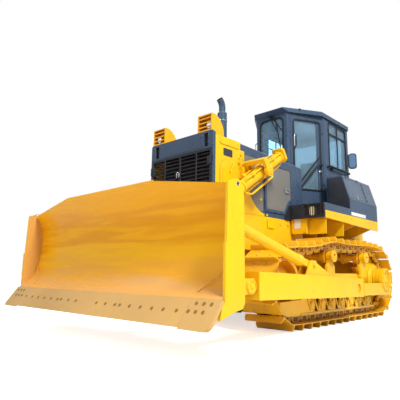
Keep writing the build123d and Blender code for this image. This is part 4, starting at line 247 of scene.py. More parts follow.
def piece(name, bm, coat, body, crease=32):
    """Turn finished mesh work into one piece that rides on a body."""
    bmesh.ops.recalc_face_normals(bm, faces=bm.faces)
    mesh = bpy.data.meshes.new(name)
    bm.to_mesh(mesh)
    bm.free()
    mesh.shade_smooth()
    mesh.set_sharp_from_angle(angle=math.radians(crease))
    mesh.materials.append(coat)
    made = bpy.data.objects.new(name, mesh)
    scene.collection.objects.link(made)
    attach(made, body)
    return made


def facing(place, out_way, up_way=(0, 0, 1)):
    """A local frame at a place: Z points out of the surface and Y up along it."""
    z = Vector(out_way).normalized()
    x = Vector(up_way).cross(z)
    if x.length < 1e-6:
        x = Vector((1, 0, 0))
    x.normalize()
    return Matrix.Translation(place) @ Matrix((x, z.cross(x), z)).transposed().to_4x4()


def shift(x, y, z):
    """A local frame that is moved and not turned."""
    return Matrix.Translation((x, y, z))


def turned(bm, at, profile, sides=24):
    """A turned shape round the local Z, from (radius, height) pairs."""
    angles = [2 * math.pi * k / sides for k in range(sides)]
    rings = []
    for radius, height in profile:
        ring = []
        for angle in angles if radius > 1e-6 else angles[:1]:
            spot = Vector((radius * math.cos(angle), radius * math.sin(angle), height))
            ring.append(bm.verts.new(at @ spot))
        rings.append(ring)
    for low, high in zip(rings, rings[1:]):
        for k in range(sides):
            j = (k + 1) % sides
            corners = [low[k % len(low)], low[j % len(low)], high[j % len(high)], high[k % len(high)]]
            face = list(dict.fromkeys(corners))
            if len(face) > 2:
                bm.faces.new(face)


def bolt(bm, at, size=0.014):
    """A hexagon head with a pressed washer under it."""
    washer = [(size * 1.5, 0), (size * 1.5, size * 0.2), (size, size * 0.22)]
    head = [(size, size * 0.2), (size, size * 0.75), (size * 0.82, size * 0.9), (0, size * 0.9)]
    turned(bm, at, washer, 14)
    turned(bm, at, head, 6)


def solid(bm, at, outline, depth, soft=0.0):
    """A plate or block: a flat outline in the local XY, raised along Z, with eased edges."""
    low = [bm.verts.new(at @ Vector((x, y, 0))) for x, y in outline]
    high = [bm.verts.new(at @ Vector((x, y, depth))) for x, y in outline]
    faces = [bm.faces.new(low[::-1]), bm.faces.new(high)]
    for k in range(len(low)):
        j = (k + 1) % len(low)
        faces.append(bm.faces.new((low[k], low[j], high[j], high[k])))
    if soft:
        edges = {e for f in faces for e in f.edges if any(v in high for v in e.verts)}
        bmesh.ops.bevel(bm, geom=list(edges), offset=soft, segments=2, affect="EDGES", clamp_overlap=True)


def rounded(width, height, radius, steps=5):
    """The outline of a rectangle with round corners, about its middle."""
    radius = min(radius, width / 2 - 1e-4, height / 2 - 1e-4)
    points = []
    for sx, sy, start in ((1, 1, 0), (-1, 1, 90), (-1, -1, 180), (1, -1, 270)):
        for k in range(steps + 1):
            angle = math.radians(start + 90 * k / steps)
            x = sx * (width / 2 - radius) + radius * math.cos(angle)
            y = sy * (height / 2 - radius) + radius * math.sin(angle)
            points.append((x, y))
    return points


# bolts that hold the shoulders, guard and cab mounts to the hull
HULL_BOLT_X = 0.6056
for side, end in SIDES:
    heads = bmesh.new()
    for y, z in ((-0.446, 1.721), (-0.306, 1.512), (0.05, 1.41), (0.25, 1.41), (0.5, 1.41)):
        bolt(heads, facing((side * HULL_BOLT_X, y, z), (side, 0, 0)), 0.013)
    piece(f"hull_bolts_{end}", heads, yellow, "machine")


# ---- Track chains ---------------------------------------------------------------------
# Each chain has 38 forged links with pressed-in pins and bushings, and a rolled steel shoe
# with one tall grouser, held by four bolts on every link. New, so still fully painted.
LINK_COUNT = 38
LINK_PITCH = 0.216
PIN_HEIGHT = 0.134  # of the pins' line above the ground
GAUGE_HALF = 1.0
CARRIER_YS = (0.42, 1.55)
CARRIED_PIN_Z = 1.104
SHOE_HALF = 0.28
LINK_X = 0.095  # from the middle of the chain to each plate
tread_yellow = enamel(
    "track_enamel",
    "yellow_paint",
    (0.92, 0.50, 0.012),
    (1.0, 0.86, 0.45),
    rough=0.34,
    dust=0.3,
    drift=0.14,
    coat=0.35,
    rub=0.8,
    # strong painted shade in the chain's gaps
    shade_depth=0.72,
)
# a dark brown for the plates that paint the shade in the links' recesses and gaps
pocket_shade = enamel(
    "track_pocket_shade",
    "yellow_paint",
    (0.10, 0.045, 0.006),
    (0.5, 0.3, 0.08),
    rough=0.4,
    dust=0.35,
    coat=0,
    rub=0.3,
)
sprocket_low, sprocket_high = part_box("sprockets")
idler_low, idler_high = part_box("idlers")
drive_y, drive_z = [(sprocket_low[i] + sprocket_high[i]) / 2 for i in (1, 2)]
wheel_y, wheel_z = [(idler_low[i] + idler_high[i]) / 2 for i in (1, 2)]
drive_radius = drive_z - PIN_HEIGHT
wheel_radius = wheel_z - PIN_HEIGHT


def arc(y, z, radius, start, end, steps=60):
    """Points round a wheel, in degrees."""
    turn = [math.radians(start + (end - start) * k / steps) for k in range(steps + 1)]
    return [Vector((y + radius * math.cos(a), z + radius * math.sin(a))) for a in turn]


# round the sprocket, over the two carrier rollers with a little sag, and round the idler
line = arc(drive_y, drive_z, drive_radius, -90, 90)
supports = (
    (drive_y, drive_z + drive_radius, 0.004),
    (CARRIER_YS[1], CARRIED_PIN_Z, 0.026),
    (CARRIER_YS[0], CARRIED_PIN_Z, 0.038),
    (wheel_y, wheel_z + wheel_radius, 0),
)
for (y0, z0, sag), (y1, z1, _) in zip(supports, supports[1:]):
    for k in range(1, 61):
        t = k / 60
        line.append(Vector((y0 + (y1 - y0) * t, z0 + (z1 - z0) * t - 4 * sag * t * (1 - t))))
line += arc(wheel_y, wheel_z, wheel_radius, 90, 270)[1:]
line.append(Vector((drive_y, PIN_HEIGHT)))
# the pins lie one pitch apart along that line, each found by halving the gap it lies in
pins = [line[0]]
for start, finish in zip(line, line[1:]):
    while (finish - pins[-1]).length >= LINK_PITCH:
        low, high = 0.0, 1.0
        for _ in range(30):
            middle = (low + high) / 2
            if (start.lerp(finish, middle) - pins[-1]).length < LINK_PITCH:
                low = middle
            else:
                high = middle
        pins.append(start.lerp(finish, low))
        start = pins[-1]
pins = pins[:LINK_COUNT]

shoe_profile = (  # along the link, and out from the pins' line
    (-0.104, 0.0505), (0.104, 0.0505), (0.104, 0.058), (0.099, 0.062), (-0.066, 0.062),
    (-0.079, 0.069), (-0.087, 0.129), (-0.091, 0.134), (-0.100, 0.134), (-0.104, 0.129),
)
link_outline = (
    (-0.084, 0.050), (0.084, 0.050), (0.090, 0.036), (0.102, 0.022), (0.105, 0.0), (0.102, -0.024),
    (0.090, -0.044), (0.070, -0.056), (0.050, -0.058), (-0.050, -0.058), (-0.070, -0.056),
    (-0.090, -0.044), (-0.102, -0.024), (-0.105, 0.0), (-0.102, 0.022), (-0.090, 0.036),
)
pin_boss = ((0.024, 0), (0.024, 0.020), (0.020, 0.0225), (0.010, 0.0225), (0.008, 0.019), (0, 0.019))
for side, end in SIDES:
    chain = bmesh.new()
    pocket_shades = bmesh.new()
    for k, first in enumerate(pins):
        second = pins[(k + 1) % len(pins)]
        along = (second - first).normalized()
        middle = (first + second) / 2
        turn = Matrix(((1, 0, 0), (0, along.x, along.y), (0, along.y, -along.x)))
        at = shift(side * GAUGE_HALF, middle.x, middle.y) @ turn.transposed().to_4x4()
        # the shoe, whose grouser is cut down at both ends
        rows = []
        for x, top in ((-SHOE_HALF, 0.094), (-0.262, 0.134), (0.262, 0.134), (SHOE_HALF, 0.094)):
            rows.append([chain.verts.new(at @ Vector((x, a, min(o, top)))) for a, o in shoe_profile])
        for low_row, high_row in zip(rows, rows[1:]):
            for i in range(len(shoe_profile)):
                j = (i + 1) % len(shoe_profile)
                chain.faces.new((low_row[i], low_row[j], high_row[j], high_row[i]))
        chain.faces.new(rows[0])
        chain.faces.new(rows[-1][::-1])
        for x in (-LINK_X, LINK_X):
            for way in (1, -1):
                face_at = at @ shift(x, 0, 0) @ facing((0, 0, 0), (way, 0, 0), (0, 0, 1))
                solid(chain, face_at, [(way * a, o) for a, o in link_outline], 0.022, 0.004)
                # painted shade: a dark plate for the recess round the shoe bolts' nuts, and the nuts in it
                recess = face_at @ shift(way * -0.004, 0.014, 0.022)
                solid(pocket_shades, recess, rounded(0.098, 0.040, 0.016, 3), 0.0012)
                for a in (-0.026, 0.026):
                    nut = recess @ shift(a, 0.002, 0)
                    turned(chain, nut, [(0.013, 0), (0.013, 0.007), (0, 0.007)], 6)
                # painted shade: a dark strip for the gap between two links, and the boss over the pin that
                # joins them
                pin_end = face_at @ shift(way * LINK_PITCH / 2, 0, 0)
                solid(pocket_shades, pin_end, rounded(0.012, 0.11, 0.004, 2), 0.0225)
                turned(chain, pin_end @ shift(0, 0, 0.006), pin_boss, 14)
            for a in (-0.035, 0.055):
                bolt(chain, at @ shift(x, a, 0.062), 0.013)
        pin_at = at @ shift(-0.073, -LINK_PITCH / 2, 0) @ facing((0, 0, 0), (1, 0, 0))
        turned(chain, pin_at, [(0.0328, 0), (0.0328, 0.146)], 18)
    run = piece(f"track_chain_{end}", chain, tread_yellow, "machine")
    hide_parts(f"track_{end}")
    piece(f"link_pocket_shades_{end}", pocket_shades, pocket_shade, "machine")


# ---- Sprockets, idlers and rollers ----------------------------------------------------
# Cast and machined wheels: bolted tooth segments on the final drives, a spoked idler at
# the front, two carrier rollers on top and seven double-flanged rollers along the ground.
TOOTH_BOLTS = 27
TOOTH_BOLT_RADIUS = 0.345
BEARING_FACE_X, HUB_FACE_X = 1.379, 1.357
DRUM_X = 1.0
sprocket_face = sprocket_high[0] + 0.0005
dress(yellow, "final_drives")
dress(tread_yellow, "sprockets", "idlers", "track_rollers", "carrier_rollers")


def bolt_circle(bm, at, radius, count, start, size):
    """Bolts evenly round the local Z, the first at that many degrees."""
    for k in range(count):
        angle = math.radians(start + 360 * k / count)
        bolt(bm, at @ shift(radius * math.cos(angle), radius * math.sin(angle), 0), size)


for side, end in SIDES:
    outward = (side, 0, 0)
    heads = bmesh.new()
    # three bolts in each of nine tooth segments, with both sprockets turned the same way
    for k in range(TOOTH_BOLTS):
        angle = math.radians(6 + 360 * k / TOOTH_BOLTS)
        y = drive_y + TOOTH_BOLT_RADIUS * math.cos(angle)
        z = drive_z + TOOTH_BOLT_RADIUS * math.sin(angle)
        bolt(heads, facing((side * sprocket_face, y, z), outward), 0.013)
    # the outer bearing ring, and the hub's cover in it
    bolt_circle(heads, facing((side * BEARING_FACE_X, drive_y, drive_z), outward), 0.171, 12, 15, 0.012)
    bolt_circle(heads, facing((side * HUB_FACE_X, drive_y, drive_z), outward), 0.094, 6, 30, 0.011)
    piece(f"drive_bolts_{end}", heads, yellow, "machine")
    # turned rings on the drum of the final drive
    rings = bmesh.new()
    drum = facing((side * DRUM_X, drive_y, drive_z), outward)
    for radius, x in ((0.262, 0.146), (0.19, 0.212), (0.186, 0.27)):
        profile = [(radius, 0), (radius + 0.007, 0.004), (radius + 0.007, 0.014), (radius, 0.018)]
        turned(rings, drum @ shift(0, 0, x), profile, 48)
    piece(f"drive_rings_{end}", rings, yellow, "machine")

# ---- Track frames ---------------------------------------------------------------------
# Box-section frames with welded posts for the carrier rollers. Cast collars hold the
# rollers' shafts, each with two bolts, a stiffening rib and a red cap over its oil plug.
ROLLER_COUNT = 7
ROLLER_TO_WHEEL = 0.47  # from the last roller to the idler or the sprocket, each end
ROLLER_Z = 0.2903
CARRIER_Z = 0.962
FRAME_FACE_X = 1.2125
CARRIER_FACE_X = 1.263
dress(yellow, "track_frame_left", "track_frame_right", "cross_shafts")
red_plastic = enamel("red_caps", "cab_trim", (0.62, 0.02, 0.015), (0.8, 0.2, 0.15), rough=0.4, dust=0.05)
first_y, last_y = wheel_y + ROLLER_TO_WHEEL, drive_y - ROLLER_TO_WHEEL
roller_ys = [first_y + (last_y - first_y) * k / (ROLLER_COUNT - 1) for k in range(ROLLER_COUNT)]
for side, end in SIDES:
    outward = (side, 0, 0)
    collars = bmesh.new()
    caps = bmesh.new()
    for y in roller_ys:
        hub = facing((side * 1.2305, y, ROLLER_Z), outward)
        turned(collars, hub, [(0.046, 0), (0.046, 0.004), (0.03, 0.006), (0.028, 0.002), (0, 0.002)], 20)
        for dy, dz in ((-0.044, -0.056), (0.044, -0.056), (-0.03, 0.078), (0.052, 0.074)):
            bolt(collars, facing((side * FRAME_FACE_X, y + dy, ROLLER_Z + dz), outward), 0.011)
        for dy in (-0.070, 0.100):
            rib = facing((side * FRAME_FACE_X, y + dy, ROLLER_Z + 0.014), outward, (0, -0.55, 1))
            solid(collars, rib, rounded(0.020, 0.20, 0.006, 2), 0.017, 0.004)
        plug = facing((side * FRAME_FACE_X, y + 0.004, 0.372), outward)
        turned(caps, plug, [(0.011, 0), (0.011, 0.008), (0.007, 0.013), (0, 0.013)], 12)
    for y in CARRIER_YS:
        hub = facing((side * CARRIER_FACE_X, y, CARRIER_Z), outward)
        turned(collars, hub, [(0.062, 0), (0.062, 0.003), (0.03, 0.004), (0.026, 0.001), (0, 0.001)], 24)
        bolt_circle(collars, hub, 0.07, 3, 90, 0.008)
        plug = hub @ shift(0, 0, 0.003)
        turned(caps, plug, [(0.012, 0), (0.012, 0.008), (0.007, 0.012), (0, 0.012)], 12)
    # three bolts of the cover over the idler's recoil spring
    for y, z in ((-0.36, 0.44), (-0.42, 0.36), (-0.3, 0.52)):
        bolt(collars, facing((side * 1.168, y, z), outward), 0.016)
    # the bottom rail of the roller guard
    rail = facing((side * FRAME_FACE_X, 0.68, 0.186), outward)
    solid(collars, rail, rounded(2.28, 0.022, 0.008, 2), 0.012, 0.004)
    piece(f"roller_collars_{end}", collars, yellow, "machine")
    piece(f"oil_caps_{end}", caps, red_plastic, "machine")

# ---- Hull, guard and headlight housings -----------------------------------------------
# Heavy plate folded round the radiator and bolted to the hull. A hinged flap, a blank
# rating plate, a raised cover and a pull handle are fixed to each side of the guard.
guard_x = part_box("radiator_guard")[1][0] + 0.0002  # a hair clear of the plate, as are all fittings
dress(yellow, "radiator_guard")
dark_plate = enamel(
    "dark_plate", "black_paint", (0.035, 0.045, 0.06), (0.2, 0.22, 0.25), rough=0.3, dust=0.1
)


def bar(bm, points, radius, sides=10):
    """A round bar bent through the given points."""
    points = [Vector(p) for p in points]
    turns = [2 * math.pi * s / sides for s in range(sides)]
    first = (points[1] - points[0]).normalized().orthogonal().normalized()
    rings = []
    for k, point in enumerate(points):
        before = points[max(k - 1, 0)]
        after = points[min(k + 1, len(points) - 1)]
        way = (after - before).normalized()
        first = (first - way * first.dot(way)).normalized()
        second = way.cross(first)
        wide = radius
        if 0 < k < len(points) - 1:
            # a mitre at a bend is wider than the bar
            half = (point - before).angle(after - point) / 2
            wide = radius / max(0.6, math.cos(half))
        spots = [point + first * wide * math.cos(a) + second * wide * math.sin(a) for a in turns]
        rings.append([bm.verts.new(spot) for spot in spots])
    for low, high in zip(rings, rings[1:]):
        for s in range(sides):
            t = (s + 1) % sides
            bm.faces.new((low[s], low[t], high[t], high[s]))
    bm.faces.new(rings[0][::-1])
    bm.faces.new(rings[-1])


def eased(points, radius, steps=6):
    """Round off the corners of a path."""
    points = [Vector(p) for p in points]
    path = [points[0]]
    for before, corner, after in zip(points, points[1:], points[2:]):
        back = (before - corner).normalized() * min(radius, (before - corner).length / 2)
        front = (after - corner).normalized() * min(radius, (after - corner).length / 2)
        for k in range(steps + 1):
            t = k / steps
            path.append(corner + back * (1 - t) ** 2 + front * t**2)
    path.append(points[-1])
    return path


for side, end in SIDES:
    outward = (side, 0, 0)
    wall = side * guard_x
    trim = bmesh.new()
    # the flap over the filler, its two bolts, and the raised rounded cover with its lip
    solid(trim, facing((wall, -1.137, 2.394), outward), rounded(0.40, 0.10, 0.018), 0.010, 0.003)
    for y in (-1.30, -0.975):
        bolt(trim, facing((wall + side * 0.010, y, 2.394), outward), 0.010)
    cover = facing((wall, -1.118, 1.72), outward)
    solid(trim, cover, rounded(0.43, 0.86, 0.15, 8), 0.014, 0.006)
    solid(trim, cover @ shift(0, 0, 0.014), rounded(0.35, 0.78, 0.12, 8), 0.008, 0.005)
    for y, z in ((-0.900, 2.274), (-0.936, 2.228), (-0.862, 2.221)):
        bolt(trim, facing((wall, y, z), outward), 0.015)
    for z in (1.10, 1.32):
        for y in (-1.33, -1.0):
            bolt(trim, facing((wall, y, z), outward), 0.014)
    piece(f"guard_fittings_{end}", trim, yellow, "machine")
    plate = bmesh.new()
    solid(plate, facing((wall, -1.173, 2.249), outward), rounded(0.176, 0.098, 0.01), 0.006, 0.002)
    piece(f"guard_plate_{end}", plate, dark_plate, "machine")
    pull = bmesh.new()
    grip_x = wall + side * 0.034
    top_foot, low_foot = (-1.095, 2.102), (-1.161, 1.987)
    path = ((wall, *top_foot), (grip_x, *top_foot), (grip_x, *low_foot), (wall, *low_foot))
    bar(pull, eased(path, 0.012), 0.008)
    piece(f"guard_pull_{end}", pull, yellow, "machine")
    # the pad on the hull's shoulder below the engine door
    pad = bmesh.new()
    solid(pad, facing((wall, -0.207, 1.395), outward), rounded(0.18, 0.13, 0.018), 0.009, 0.003)
    piece(f"hull_pad_{end}", pad, yellow, "machine")

# the two headlights: a clear ribbed lens in a bright bowl, behind a black rubber seal
HEADLIGHT_X, HEADLIGHT_Y, HEADLIGHT_Z = 0.489, -1.4103, 2.588
rubber = enamel(
    "black_rubber", "cab_trim", (0.012, 0.013, 0.016), (0.06, 0.06, 0.07), rough=0.5, dust=0.12, coat=0
)
housing = enamel(
    # strong painted shade round the lamp housings
    "lamp_housing", "yellow_paint", (0.95, 0.44, 0.012), (1.0, 0.84, 0.36), dust=0.15, coat=0.3, shade_depth=0.7
)
dress(housing, "headlights")
bright = enamel(
    "headlight_glass", "window_glass", (0.86, 0.90, 0.94), (1, 1, 1), rough=0.1, dust=0.03, coat=0.8, shade_depth=0
)
lit_up = {"Emission Color": (0.9, 0.95, 1.0, 1), "Emission Strength": 0.35}
connect(bright.node_tree, bright.node_tree.nodes["Principled BSDF"], lit_up)
for side, end in SIDES:
    seal = bmesh.new()
    glass = bmesh.new()
    at = facing((side * HEADLIGHT_X, HEADLIGHT_Y, HEADLIGHT_Z), (0, -1, 0))
    turned(seal, at, [(0.056, 0), (0.056, 0.012), (0.050, 0.016), (0.046, 0.012), (0.046, 0.004)], 32)
    turned(glass, at, [(0.046, 0.003), (0.040, 0.010), (0.024, 0.015), (0, 0.017)], 32)
    for k in range(-3, 4):
        rib = rounded(0.004, 0.07 - abs(k) * 0.009, 0.0015, 2)
        solid(glass, at @ shift(k * 0.011, 0, 0.011), rib, 0.004, 0.001)
    piece(f"headlight_seal_{end}", seal, rubber, "machine")
    piece(f"headlight_lens_{end}", glass, bright, "machine")

# ---- Radiator grille ------------------------------------------------------------------
# A blue-grey surround with a blank name band between two upright slots. Two louvred steel
# doors hang in it, and behind them stands the finned radiator core.
surround_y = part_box("grille_frame")[0][1] - 0.0002
slate = enamel(
    "slate_enamel",
    "grey_paint",
    (0.053, 0.088, 0.148),
    (0.36, 0.43, 0.52),
    rough=0.26,
    dust=0.05,
    drift=0.1,
    coat=0.3,
    rub=0.35,
    # a painted highlight on the slate's upward faces
    top=0.34,
)
dress(slate, "grille_frame")
black = enamel(
    "black_enamel",
    "black_paint",
    (0.022, 0.026, 0.034),
    (0.16, 0.17, 0.19),
    rough=0.32,
    dust=0.14,
    coat=0.35,
)
dress(black, "grille_door_left", "grille_door_right")
chrome = enamel(
    "bright_chrome",
    "chrome_rod",
    (0.72, 0.74, 0.76),
    (0.9, 0.9, 0.9),
    rough=0.16,
    dust=0.06,
    drift=0.05,
    coat=0,
)
chrome.node_tree.nodes["Principled BSDF"].inputs["Metallic"].default_value = 1.0
core_metal = enamel(
    "core_fins", "core_metal", (0.035, 0.036, 0.038), (0.12, 0.12, 0.12), rough=0.5, dust=0.3, coat=0
)
dress(core_metal, "radiator_core")
# painted shade: dark plates fill the two slots where the shade behind them shows, each with a bolt
shadow = bmesh.new()
for x in (-0.480, 0.480):
    solid(shadow, facing((x, -1.4250, 2.380), (0, -1, 0)), rounded(0.0714, 0.1794, 0.004, 2), 0.006, 0.001)
    bolt(shadow, facing((x, -1.4310, 2.343), (0, -1, 0)), 0.009)
piece("slot_shade_plates", shadow, rubber, "machine")
name_band = bmesh.new()
solid(name_band, facing((0, surround_y, 2.375), (0, -1, 0)), rounded(0.86, 0.17, 0.012), 0.005, 0.002)
for way in (-1, 1):
    for z in (2.343, 2.44):
        bolt(name_band, facing((way * 0.523, surround_y, z), (0, -1, 0)), 0.009)
    bolt(name_band, facing((way * 0.41, surround_y - 0.005, 2.44), (0, -1, 0)), 0.009)
    for z in (1.22, 1.50, 1.78, 2.06, 2.30):
        bolt(name_band, facing((way * 0.5902, surround_y, z), (0, -1, 0)), 0.007)
piece("name_band", name_band, slate, "machine")
for side, end in SIDES:
    catch = bmesh.new()
    door_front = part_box(f"grille_door_{end}")[0][1] - 0.0003
    for z in (1.45, 1.98):
        at = facing((side * 0.022, door_front, z), (0, -1, 0))
        solid(catch, at, rounded(0.018, 0.07, 0.006), 0.010, 0.003)
        bolt(catch, at @ shift(0, 0, 0.0097), 0.006)
    piece(f"grille_catch_{end}", catch, chrome, f"grille_door_{end}")
# the core's upright fins, and the flat tubes across them
FIN_COUNT, TUBE_COUNT = 60, 14
fins = bmesh.new()
core_low, core_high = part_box("radiator_core")
core_face = core_low[1] - 0.0002
for k in range(FIN_COUNT):
    x = core_low[0] + 0.02 + (core_high[0] - core_low[0] - 0.04) * k / (FIN_COUNT - 1)
    at = facing((x, core_face, (core_low[2] + core_high[2]) / 2), (0, -1, 0))
    solid(fins, at, ((-0.0015, -0.5), (0.0015, -0.5), (0.0015, 0.5), (-0.0015, 0.5)), 0.008)
for k in range(TUBE_COUNT):
    z = core_low[2] + 0.06 + (core_high[2] - core_low[2] - 0.12) * k / (TUBE_COUNT - 1)
    solid(fins, facing((0, core_face, z), (0, -1, 0)), rounded(1.08, 0.012, 0.004), 0.012, 0.002)
piece("core_tubes", fins, core_metal, "machine")

# ---- Hood and engine doors ------------------------------------------------------------
# Pressed steel panels in the same blue-grey. The doors and the panels in front of them
# are perforated sheet, held in folded frames and closed by a sliding latch, and the
# engine behind them is oily cast iron.
hood_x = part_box("hood_side_left")[1][0] + 0.0003
dress(slate, "hood_top", "hood_side_left", "hood_side_right", "engine_door_left", "engine_door_right")
iron = enamel(
    "oily_iron",
    "engine_iron",
    (0.06, 0.058, 0.05),
    (0.16, 0.15, 0.14),
    rough=0.38,
    dust=0.35,
    drift=0.25,
    coat=0.2,
)
dress(iron, "engine_block")
mesh_sheet = enamel(
    "perforated_sheet",
    "grey_paint",
    (0.27, 0.265, 0.245),
    (0.5, 0.5, 0.48),
    rough=0.45,
    dust=0.3,
    drift=0.15,
    coat=0.1,
)
# rows of round holes at 45 degrees, painted in the plane of the sheet, each dark inside with painted shade
tree = mesh_sheet.node_tree
skin = tree.nodes["Principled BSDF"]
painted = skin.inputs["Base Color"].links[0].from_socket
rows_at = {"Rotation": (math.radians(45), 0, 0), "Scale": (0, 60, 60)}
rows = add(tree, "Mapping", {"Vector": add(tree, "TexCoord").outputs["Object"], **rows_at})
cells = add(tree, "TexVoronoi", {"Vector": rows.outputs[0], "Scale": 1.0, "Randomness": 0.0})
metal = spread(tree, cells.outputs["Distance"], 0.28, 0.34)
connect(tree, skin, {"Base Color": tint(tree, metal, (0.012, 0.013, 0.015), painted)})

door_outline = (
    (-0.300, 1.612), (0.150, 1.612), (0.236, 1.755), (0.345, 1.832), (0.345, 2.262), (0.318, 2.276),
    (-0.300, 2.276),
)
panel_outline = ((-0.82, 1.56), (-0.392, 1.56), (-0.392, 2.30), (-0.82, 2.30))
for side, end in SIDES:
    outward = (side, 0, 0)
    # local X runs to the rear on the left side, and forward on the right
    sheet = bmesh.new()
    outline = [(y * side, z) for y, z in door_outline][::side]
    solid(sheet, facing((side * 0.6023, 0, 0), outward), outline, 0.0012)
    piece(f"door_mesh_{end}", sheet, mesh_sheet, f"engine_door_{end}")
    front = bmesh.new()
    outline = [(y * side, z) for y, z in panel_outline][::side]
    solid(front, facing((side * hood_x, 0, 0), outward), outline, 0.0022)
    piece(f"side_mesh_{end}", front, mesh_sheet, "machine")
    latch = bmesh.new()
    solid(latch, facing((side * 0.6123, 0.24, 1.948), outward), rounded(0.127, 0.09, 0.03), 0.006, 0.002)
    foot_x, grip_x = side * 0.613, side * 0.634
    path = (
        (foot_x, 0.195, 1.965), (grip_x, 0.195, 1.965), (grip_x, 0.285, 1.965), (grip_x, 0.285, 1.93),
        (foot_x, 0.285, 1.93),
    )
    bar(latch, eased(path, 0.01), 0.0065)
    piece(f"door_latch_{end}", latch, chrome, f"engine_door_{end}")
    # painted shade: a dark strip stands for the slot in the hood side
    slot = bmesh.new()
    at = facing((side * 0.6026, -0.370, 1.93), outward)
    solid(slot, at, rounded(0.016, 0.127, 0.007), 0.003, 0.001)
    piece(f"hood_slot_{end}", slot, rubber, "machine")
    edge_bolts = bmesh.new()
    for y in (-0.86, -0.62, -0.40, -0.12, 0.16, 0.44, 0.64):
        bolt(edge_bolts, facing((side * hood_x, y, 2.372), outward), 0.008)
    piece(f"hood_bolts_{end}", edge_bolts, slate, "machine")

# ---- Exhaust --------------------------------------------------------------------------
# A painted steel stack with a bright clamp at its foot and its step, and a curved outlet,
# sooty inside, and a dark disc over it paints the soot and the shade in the pipe.
STACK_Y = -0.6
CLAMP_RADIUS = 0.0745
BEND_Z, BEND_RADIUS = 3.205, 0.150
swing = math.radians(48)
dress(slate, "exhaust_stack")
ring = bmesh.new()
clamp = [(CLAMP_RADIUS, 0), (CLAMP_RADIUS + 0.004, 0.001), (CLAMP_RADIUS + 0.004, 0.015)]
for z in (2.50, 2.98):
    turned(ring, shift(0, STACK_Y, z), [*clamp, (CLAMP_RADIUS, 0.016)], 40)
piece("exhaust_clamps", ring, chrome, "machine")
# a dark disc over the outlet: soot, and painted shade for the inside of the pipe
dark_mouth = bmesh.new()
drop_back = BEND_RADIUS * (1 - math.cos(swing))
mouth = Vector((0, STACK_Y - drop_back, BEND_Z + BEND_RADIUS * math.sin(swing)))
mouth_way = Vector((0, -math.sin(swing), math.cos(swing)))
at = facing(mouth + mouth_way * 0.0006, mouth_way, (1, 0, 0))
turned(dark_mouth, at, [(0.0495, -0.0005), (0.0495, 0.003), (0.046, 0.003), (0.02, 0.001), (0, 0.001)], 24)
piece("exhaust_dark_mouth", dark_mouth, rubber, "machine")

# ---- Fenders --------------------------------------------------------------------------
# Flat decks over the tracks, with non-slip treads pressed in the grey plate and blank
# plates for labels. A black panel with three guard bars carries the front work lamp.
LAMP_Z = 1.612
GRID_Y = 0.303  # the guard bars stand off in front of the lamp
fender_low, fender_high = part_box("fender_left")
fender_front = fender_low[1] + 0.0006
fender_side = fender_high[0] + 0.0002
dress(yellow, "fender_left", "fender_right")
dress(slate, "platform")
dress(black, "lamp_panels")
lit, tree, skin = coating("lit_lamp", "window_glass", {"Emission Strength": 0.28, "Roughness": 0.12})
where = add(tree, "TexCoord").outputs["Object"]
ribs = add(tree, "TexWave", {"Vector": where, "Scale": 30}).outputs["Fac"]
warm = tint(tree, ribs, (0.80, 0.52, 0.26), (1.0, 0.80, 0.52))
connect(tree, skin, {"Base Color": warm, "Emission Color": warm})
blank = enamel(
    "blank_plate", "grey_paint", (0.80, 0.82, 0.80), (0.9, 0.9, 0.88), rough=0.35, dust=0.2, drift=0.04
)
for side, end in SIDES:
    outward = (side, 0, 0)
    lamp_glass = bmesh.new()
    at = facing((side * 0.990, 0.3315, LAMP_Z), (0, -1, 0))
    solid(lamp_glass, at, rounded(0.092, 0.13, 0.02), 0.020, 0.005)
    piece(f"work_lamp_{end}", lamp_glass, lit, "machine")
    grid = bmesh.new()
    for x in (0.966, 1.002, 1.030):
        route = ((0.3165, 1.510), (GRID_Y, 1.516), (GRID_Y, 1.712), (0.3165, 1.718))
        bar(grid, [(side * x, y, z) for y, z in route], 0.0045, 8)
    route = ((0.885, 0.3165), (0.885, GRID_Y), (0.94, GRID_Y))
    bar(grid, [(side * x, y, LAMP_Z) for x, y in route], 0.004, 8)
    piece(f"lamp_grid_{end}", grid, black, "machine")
    bolts = bmesh.new()
    for x, z in ((0.665, 1.69), (0.665, 1.535), (0.835, 1.69), (0.835, 1.535), (1.186, 1.70)):
        bolt(bolts, facing((side * x, 0.2894, z), (0, -1, 0)), 0.009)
    piece(f"panel_bolts_{end}", bolts, black, "machine")
    bolts = bmesh.new()
    for y in (0.62, 1.20, 1.86, 2.10):
        bolt(bolts, facing((side * fender_side, y, 1.56), outward), 0.010)
    for x, z in ((0.65, 1.54), (0.85, 1.54), (0.65, 1.31), (0.85, 1.31)):
        bolt(bolts, facing((side * x, fender_front, z), (0, -1, 0)), 0.010)
    piece(f"fender_bolts_{end}", bolts, yellow, "machine")
    plates = bmesh.new()
    at = facing((side * 0.728, fender_front, 1.435), (0, -1, 0))
    solid(plates, at, rounded(0.109, 0.15, 0.012), 0.003, 0.001)
    at = facing((side * 1.2003, 1.474, 1.650), outward)
    solid(plates, at, rounded(0.563, 0.056, 0.012), 0.003, 0.001)
    piece(f"blank_plates_{end}", plates, blank, "machine")
    treads = bmesh.new()
    for x in (0.70, 0.78, 0.86, 0.94, 1.02, 1.10):
        for y in (0.55, 0.83):
            solid(treads, shift(side * x, y, 1.7223), rounded(0.05, 0.16, 0.02, 3), 0.003, 0.001)
    piece(f"deck_treads_{end}", treads, slate, "machine")

